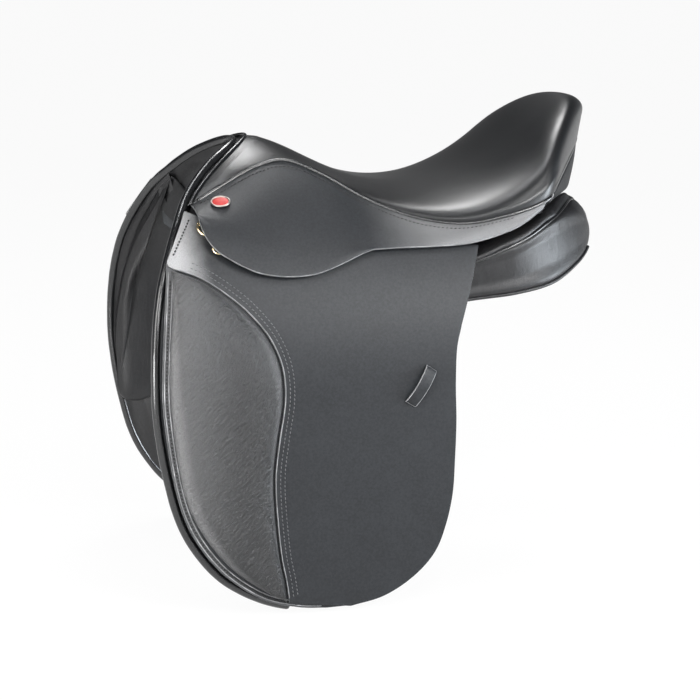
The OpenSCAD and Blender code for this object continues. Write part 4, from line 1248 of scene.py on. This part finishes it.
def front_lining(u, v, d):
    """Creased lining inside the front roll, narrow at its top: u away from the roll, v down along it."""
    wide, at = 46.0, 0.84 * v
    t = unit(along(ROLL_EDGE, at + 0.01) - along(ROLL_EDGE, at - 0.01))
    q = along(ROLL_EDGE, at) + mix(2.0, mix(8.0, wide, smooth(v / 0.3)), u) * aside(t)
    fold = ruffle(np.array([u * wide, v * 60, 4.0]), 9, 2.2) * math.sin(math.pi * clamp(u * 1.2))
    return barrel(*q, mix(-0.6, -16.0, smooth(u * 0.9)) + fold - d)


class SADDLE_OT_sweat_flaps(bpy.types.Operator):
    """Make the sweat flaps, the padded roll round their front edge and the lining inside it"""

    bl_idname = "saddle.sweat_flaps"
    bl_label = "Sweat flaps"

    def execute(self, context):
        both("sweat_leaf", lambda name: leaf(name, (60, 100), sweat_leather, SWEAT_T, [hide("bridle"), cut_edge()]),
             "saddle", "bridle_leather", "sweat_flap_{}")
        half = [curve(ROLL_ARCH, i) for i in spread(0, len(ROLL_ARCH) - 1, 30)]
        half += [barrel(*along(ROLL_EDGE, t), SWEAT_OUT / 2) for t in spread(0, 1, 160)[1:]]
        whole = evened(half[::-1] + [p * np.array([1, -1, 1]) for p in half[1:]], 30)
        roll = tube("front_roll_skin", Path(whole, (0, 1, 0)), ROLL_R, (640, 20), [hide("piping")], uneven=0.25)
        place(roll, "saddle", "grain_leather", "front_roll")
        both("front_lining", lambda name: leaf(name, (50, 120), front_lining, LINING_T, [hide("panel")]),
             "saddle", "panel_leather")
        return {"FINISHED"}


# Course of the gusset seam: stations along the panel, and places round it.
GUSSET_S = (6, 7.1, 7.6, 8.4, 9.2, 9.95, 10.5, 12)
GUSSET_T = (0.6, 0.5, 0.27, 0.22, 0.12, -0.4, -1.0, -1.1)

# Groove in that seam and roll above it: place round the panel, width, and depth or height.
GROOVE = (-0.02, 0.12, 3.2)
SWELL = (-0.36, 0.26, 4.0)


def gusset(s):
    """Place of the gusset seam round the panel at station s."""
    return float(np.interp(s, GUSSET_S, GUSSET_T))


def ridge(off, line):
    """Rounded ridge at a distance from the seam."""
    at, width, height = line
    return height * math.exp(-((off - at) / width) ** 2)


def stuffed(u, v):
    """Panel: u from front to rear, v round it, with a groove and a roll along the gusset seam and soft creases."""
    end = 0.012
    s = PANEL_LAST * clamp((u - end) / (1 - 2 * end))
    ring = panel_points(s)
    count = len(ring)
    mid = sum(ring) / count
    t = count * (v % 1.0)
    p = ring_point(ring, t)
    out = unit(p - mid)
    rear = smooth((s - 6) / 1.5)
    off = (t - gusset(s) + count / 2) % count - count / 2
    p = p - out * (ridge(off, GROOVE) - ridge(off, SWELL)) * rear
    crease = sizes().wrinkle / MM * (1 - rear * 0.92 + 0.9 * smooth((4 - s) / 2))
    p = p + out * (ruffle(p * np.array([1, 1, 0.28]), 13, crease) + ruffle(p, 32, 1.0 - 0.7 * rear) - 0.8)
    grow = math.sqrt(clamp(1 - (1 - min(min(u, 1 - u) / end, 1)) ** 2))
    return mid + (p - mid) * grow


class SADDLE_OT_panels(bpy.types.Operator):
    """Make the stuffed panels with soft creases and a piped gusset seam"""

    bl_idname = "saddle.panels"
    bl_label = "Panels"

    def execute(self, context):
        for obj in both("panel_skin", lambda name: rolled(name, (230, 110), stuffed, [hide("panel")], soft=0.012),
                        "saddle", "panel_leather", "panel_{}"):
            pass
        line = []
        for s in spread(6.6, 10.6, 100):
            ring = panel_points(s)
            p = ring_point(ring, gusset(s))
            line.append(p - 1.2 * unit(p - sum(ring) / len(ring)))
        line = Path(evened(line, 80), (0, 0, 1))
        both("gusset_piping", lambda name: tube(name, line, GUSSET_R, (200, 10), [hide("piping")], uneven=0.1),
             "saddle", "panel_leather")
        return {"FINISHED"}


# Place of the stud on the skirt, its turn in degrees, its half length and how much narrower it is.
STUD_AT, STUD_TURN = (0.17, 0.42), -35
STUD_HALF, STUD_OVAL = 10, 0.9


class SADDLE_OT_stud(bpy.types.Operator):
    """Make the oval stud on the near skirt: a rounded rim round a domed enamel face"""

    bl_idname = "saddle.stud"
    bl_label = "Stud"

    def execute(self, context):
        (s, r), e = STUD_AT, 0.02
        o = skirt_point(s, r)
        x = unit(skirt_point(s + e, r) - skirt_point(s - e, r))
        n = unit(np.cross(skirt_point(s, r + e) - skirt_point(s, r - e), x))
        n = n if n @ SKIRT_DIR > 0 else -n
        y = np.cross(n, x)
        turn = math.radians(STUD_TURN)
        a, b = math.cos(turn) * x + math.sin(turn) * y, math.cos(turn) * y - math.sin(turn) * x
        face_r, face_end = 0.85, 0.7

        def lathe(radius, height, v):
            w = 2 * math.pi * v
            return o + STUD_HALF * radius * (math.cos(w) * a + STUD_OVAL * math.sin(w) * b) + height * n

        def rim(u, v):
            w = 2 * math.pi * u
            return lathe(0.9 + 0.1 * math.cos(w), 1.5 + 1.1 * math.sin(w), v)

        def face(u, v):
            if u < face_end:
                q = u / face_end
                return lathe(face_r * q, 1.5 + 1.2 * (1 - q * q), v)
            q = (1 - u) / (1 - face_end)
            return lathe(face_r * q, 1.0 + 0.5 * q, v)

        place(rolled("stud_rim", (16, 64), rim, [metal("rim")]), "saddle", "bright_rim", "badge_rim")
        place(rolled("stud_face", (24, 64), face, [enamel()]), "saddle", "red_enamel", "badge_enamel")
        return {"FINISHED"}


# Rows of stitches: distance in from the edge of the rim, the knee pad and the skirt, and place across the seat.
RIM_ROW, PAD_ROWS, SKIRT_ROW, SEAT_ROW = 4.0, (5.0, 9.4), 9.0, -0.955
YOKE_ROW = pts((-219.5, 74), (-231, 58), (-241.5, 43))


class SADDLE_OT_stitching(bpy.types.Operator):
    """Make the thin beads along the seams and sew the rows of stitches"""

    bl_idname = "saddle.stitching"
    bl_label = "Stitching"

    def execute(self, context):
        bold = {"pitch": 0.0038, "long": 0.0028, "thick": 0.0010}
        close = {"pitch": 0.0034, "long": 0.0024}
        # Slim raised beads for the creased lines, in the edge finish: their pale colour is a painted highlight.
        for label, edge, d, depth in (
            ("outer", FLAP_FRONT, 1.9, RIM_OUT), ("inner", FLAP_FRONT, 6.2, RIM_OUT),
            ("facing", PAD_EDGE, 0.6, FLAP_OUT - 0.2),
        ):
            line = Path(on_barrel(moved(edge, d), depth, 0.02, 0.985)[0], (0, -1, 0))
            both(f"rim_bead_{label}", lambda name: tube(name, line, BEAD_R, (200, 8), [cut_edge()]),
                 "flap_{}", "bridle_leather")
        rim = [(*on_barrel(moved(FLAP_FRONT, RIM_ROW), RIM_OUT, 0.04, 0.985), bold)]
        beside_pad = [(*on_barrel(moved(PAD_EDGE, d), FLAP_OUT, 0.05, 0.985), {}) for d in PAD_ROWS]
        skirt = [skirt_leaf(s, 0, 0, SKIRT_ROW) for s in spread(0.05, 1.72, 160)]
        rear = spread(SEAM_CORNER + 0.1, SEAT_LAST - 0.4, 60)
        seat = [
            (*on_barrel(YOKE_ROW, FLAP_OUT), bold),
            (skirt, [SKIRT_DIR] * len(skirt), {}),
            ([seat_point(t, SEAT_ROW) for t in rear], [seat_normal(t, SEAT_ROW) for t in rear], close),
        ]
        dark, light = thread("Waxed thread", "thread"), thread("Pale waxed thread", "pale_thread")
        for side, sign in SIDES.items():
            sewn(f"rim_stitches_{side}", rim, f"flap_{side}", sign, dark)
            sewn(f"pad_stitches_{side}", beside_pad, f"flap_{side}", sign, light)
            sewn(f"seat_stitches_{side}", seat, "saddle", sign, dark)
        return {"FINISHED"}


class SADDLE_OT_hardware(bpy.types.Operator):
    """Give the metal, wood, web and strap solids their finishes"""

    bl_idname = "saddle.hardware"
    bl_label = "Hardware"

    def execute(self, context):
        table = {
            "tree": beech(), "seat_webbing": canvas(), "girth_web": canvas(), "dee_upper": metal("brass"),
            "dee_lower": metal("brass"), "dee_chapes": hide("bridle"), "strap_front": hide("bridle"),
            "strap_rear": hide("bridle"),
        }
        for name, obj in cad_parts.items():
            stem = name.removesuffix("_near").removesuffix("_off")
            obj.data.materials.clear()
            obj.data.materials.append(table.get(stem, metal("steel")))
        return {"FINISHED"}


# Half width of the floor, radius and height of the backdrop round it, in metres.
FLOOR_HALF, RING_R, RING_H = 30.0, 29.0, 6.0

# Soft lamps: name, place, size, power and colour. All look at one point on the saddle.
WHITE = (1.0, 1.0, 1.0)
AIM = (-0.05, 0, -0.05)
LAMPS = (
    ("key", (-1.5, -1.3, 1.1), (0.9, 1.3), 26, (1.0, 0.99, 0.97)),
    ("front", (0.88, -1.6, 0.85), (0.55, 0.5), 16, WHITE),
    ("brow", (0.05, -1.25, 1.5), (0.4, 0.4), 9, WHITE),
    ("top", (0.15, 1.0, 1.6), (0.6, 0.45), 18, WHITE),
    ("crown", (-0.25, 0.15, 1.65), (0.3, 0.3), 6, (0.97, 0.98, 1.0)),
    ("side", (1.55, -0.7, -0.02), (0.7, 0.5), 19, (0.85, 0.93, 1.0)),
    ("low", (-1.2, -1.1, -0.05), (0.5, 0.45), 15, WHITE),
    ("knee", (-0.16, -0.95, 0.46), (0.2, 0.2), 2.2, WHITE),
    ("rear", (0.34, -0.88, 0.32), (0.2, 0.2), 3.2, WHITE),
    ("edge", (0.95, -0.6, -0.15), (0.5, 0.28), 5, (0.88, 0.94, 1.0)),
)


# Camera: azimuth and elevation in degrees, target and distance in metres, lens and sensor in millimetres.
CAMERA_AZ, CAMERA_EL = -13.5, 13.0
CAMERA_TARGET, CAMERA_AWAY = (-0.031, -0.012, -0.0819), 2.2
LENS, SENSOR = 105.9, 36.0


def towards(direction):
    """Turn that points a lamp or a camera in a direction."""
    return direction.to_track_quat("-Z", "Y").to_euler()


class SADDLE_OT_stage(bpy.types.Operator):
    """Set the pale floor and backdrop, the soft lights and the camera"""

    bl_idname = "saddle.stage"
    bl_label = "Stage"

    def execute(self, context):
        scene = context.scene
        low = CAD_BOX[0][2] - sizes().floor_drop
        bm = bmesh.new()
        bmesh.ops.create_grid(
            bm, x_segments=1, y_segments=1, size=FLOOR_HALF, matrix=Matrix.Translation((0, 0, low)))
        floor = to_object(bm, "floor", [pale("Pale floor", 1.0)])
        bm = bmesh.new()
        bmesh.ops.create_cone(
            bm, cap_ends=False, segments=96, radius1=RING_R, radius2=RING_R, depth=RING_H,
            matrix=Matrix.Translation((0, 0, low + RING_H / 2)))
        to_object(bm, "backdrop", [pale("Pale backdrop", 0.2)])
        world = bpy.data.worlds.new("Studio")
        world.use_nodes = True
        back = world.node_tree.nodes["Background"]
        back.inputs["Color"].default_value = (0.93, 0.95, 1.0, 1)
        back.inputs["Strength"].default_value = 0.06
        scene.world = world
        for name, spot, size, power, colour in LAMPS:
            lamp = bpy.data.lights.new(name, "AREA")
            lamp.shape = "RECTANGLE"
            lamp.size, lamp.size_y = size
            lamp.energy = power
            lamp.color = colour
            obj = bpy.data.objects.new(name, lamp)
            obj.location = spot
            obj.visible_camera = False
            obj.rotation_euler = towards(Vector(AIM) - obj.location)
            context.collection.objects.link(obj)
        cam = bpy.data.cameras.new("camera")
        cam.sensor_width = SENSOR
        cam.lens = LENS
        obj = bpy.data.objects.new("camera", cam)
        az, el = math.radians(CAMERA_AZ), math.radians(CAMERA_EL)
        back_dir = Vector((math.sin(az) * math.cos(el), -math.cos(az) * math.cos(el), math.sin(el)))
        obj.location = Vector(CAMERA_TARGET) + back_dir * CAMERA_AWAY
        obj.rotation_euler = towards(-back_dir)
        context.collection.objects.link(obj)
        scene.camera = obj
        scene.view_settings.view_transform = "Standard"
        return {"FINISHED"}


class SADDLE_PT_panel(bpy.types.Panel):
    """Sizes, colours and pieces of the saddle"""

    bl_idname = "SADDLE_PT_panel"
    bl_label = "Saddle"
    bl_space_type = "VIEW_3D"
    bl_region_type = "UI"
    bl_category = "Saddle"

    def draw(self, context):
        for group in (context.scene.saddle_sizes, context.scene.saddle_colours):
            for name in group.__annotations__:
                self.layout.prop(group, name)
        for op in OPERATORS:
            self.layout.operator(op.bl_idname)


OPERATORS = (
    SADDLE_OT_stage, SADDLE_OT_seat, SADDLE_OT_welts, SADDLE_OT_facings, SADDLE_OT_skirts, SADDLE_OT_flaps,
    SADDLE_OT_knee_pads, SADDLE_OT_keepers, SADDLE_OT_sweat_flaps, SADDLE_OT_panels, SADDLE_OT_stud,
    SADDLE_OT_stitching, SADDLE_OT_hardware,
)
CLASSES = (SaddleSizes, SaddleColours, *OPERATORS, SADDLE_PT_panel)


def register():
    for cls in CLASSES:
        bpy.utils.register_class(cls)
    bpy.types.Scene.saddle_sizes = PointerProperty(type=SaddleSizes)
    bpy.types.Scene.saddle_colours = PointerProperty(type=SaddleColours)


def unregister():
    del bpy.types.Scene.saddle_colours
    del bpy.types.Scene.saddle_sizes
    for cls in reversed(CLASSES):
        bpy.utils.unregister_class(cls)


def main():
    register()
    for op in OPERATORS:
        getattr(bpy.ops.saddle, op.bl_idname.split(".")[1])()


if __name__ == "__main__":
    main()
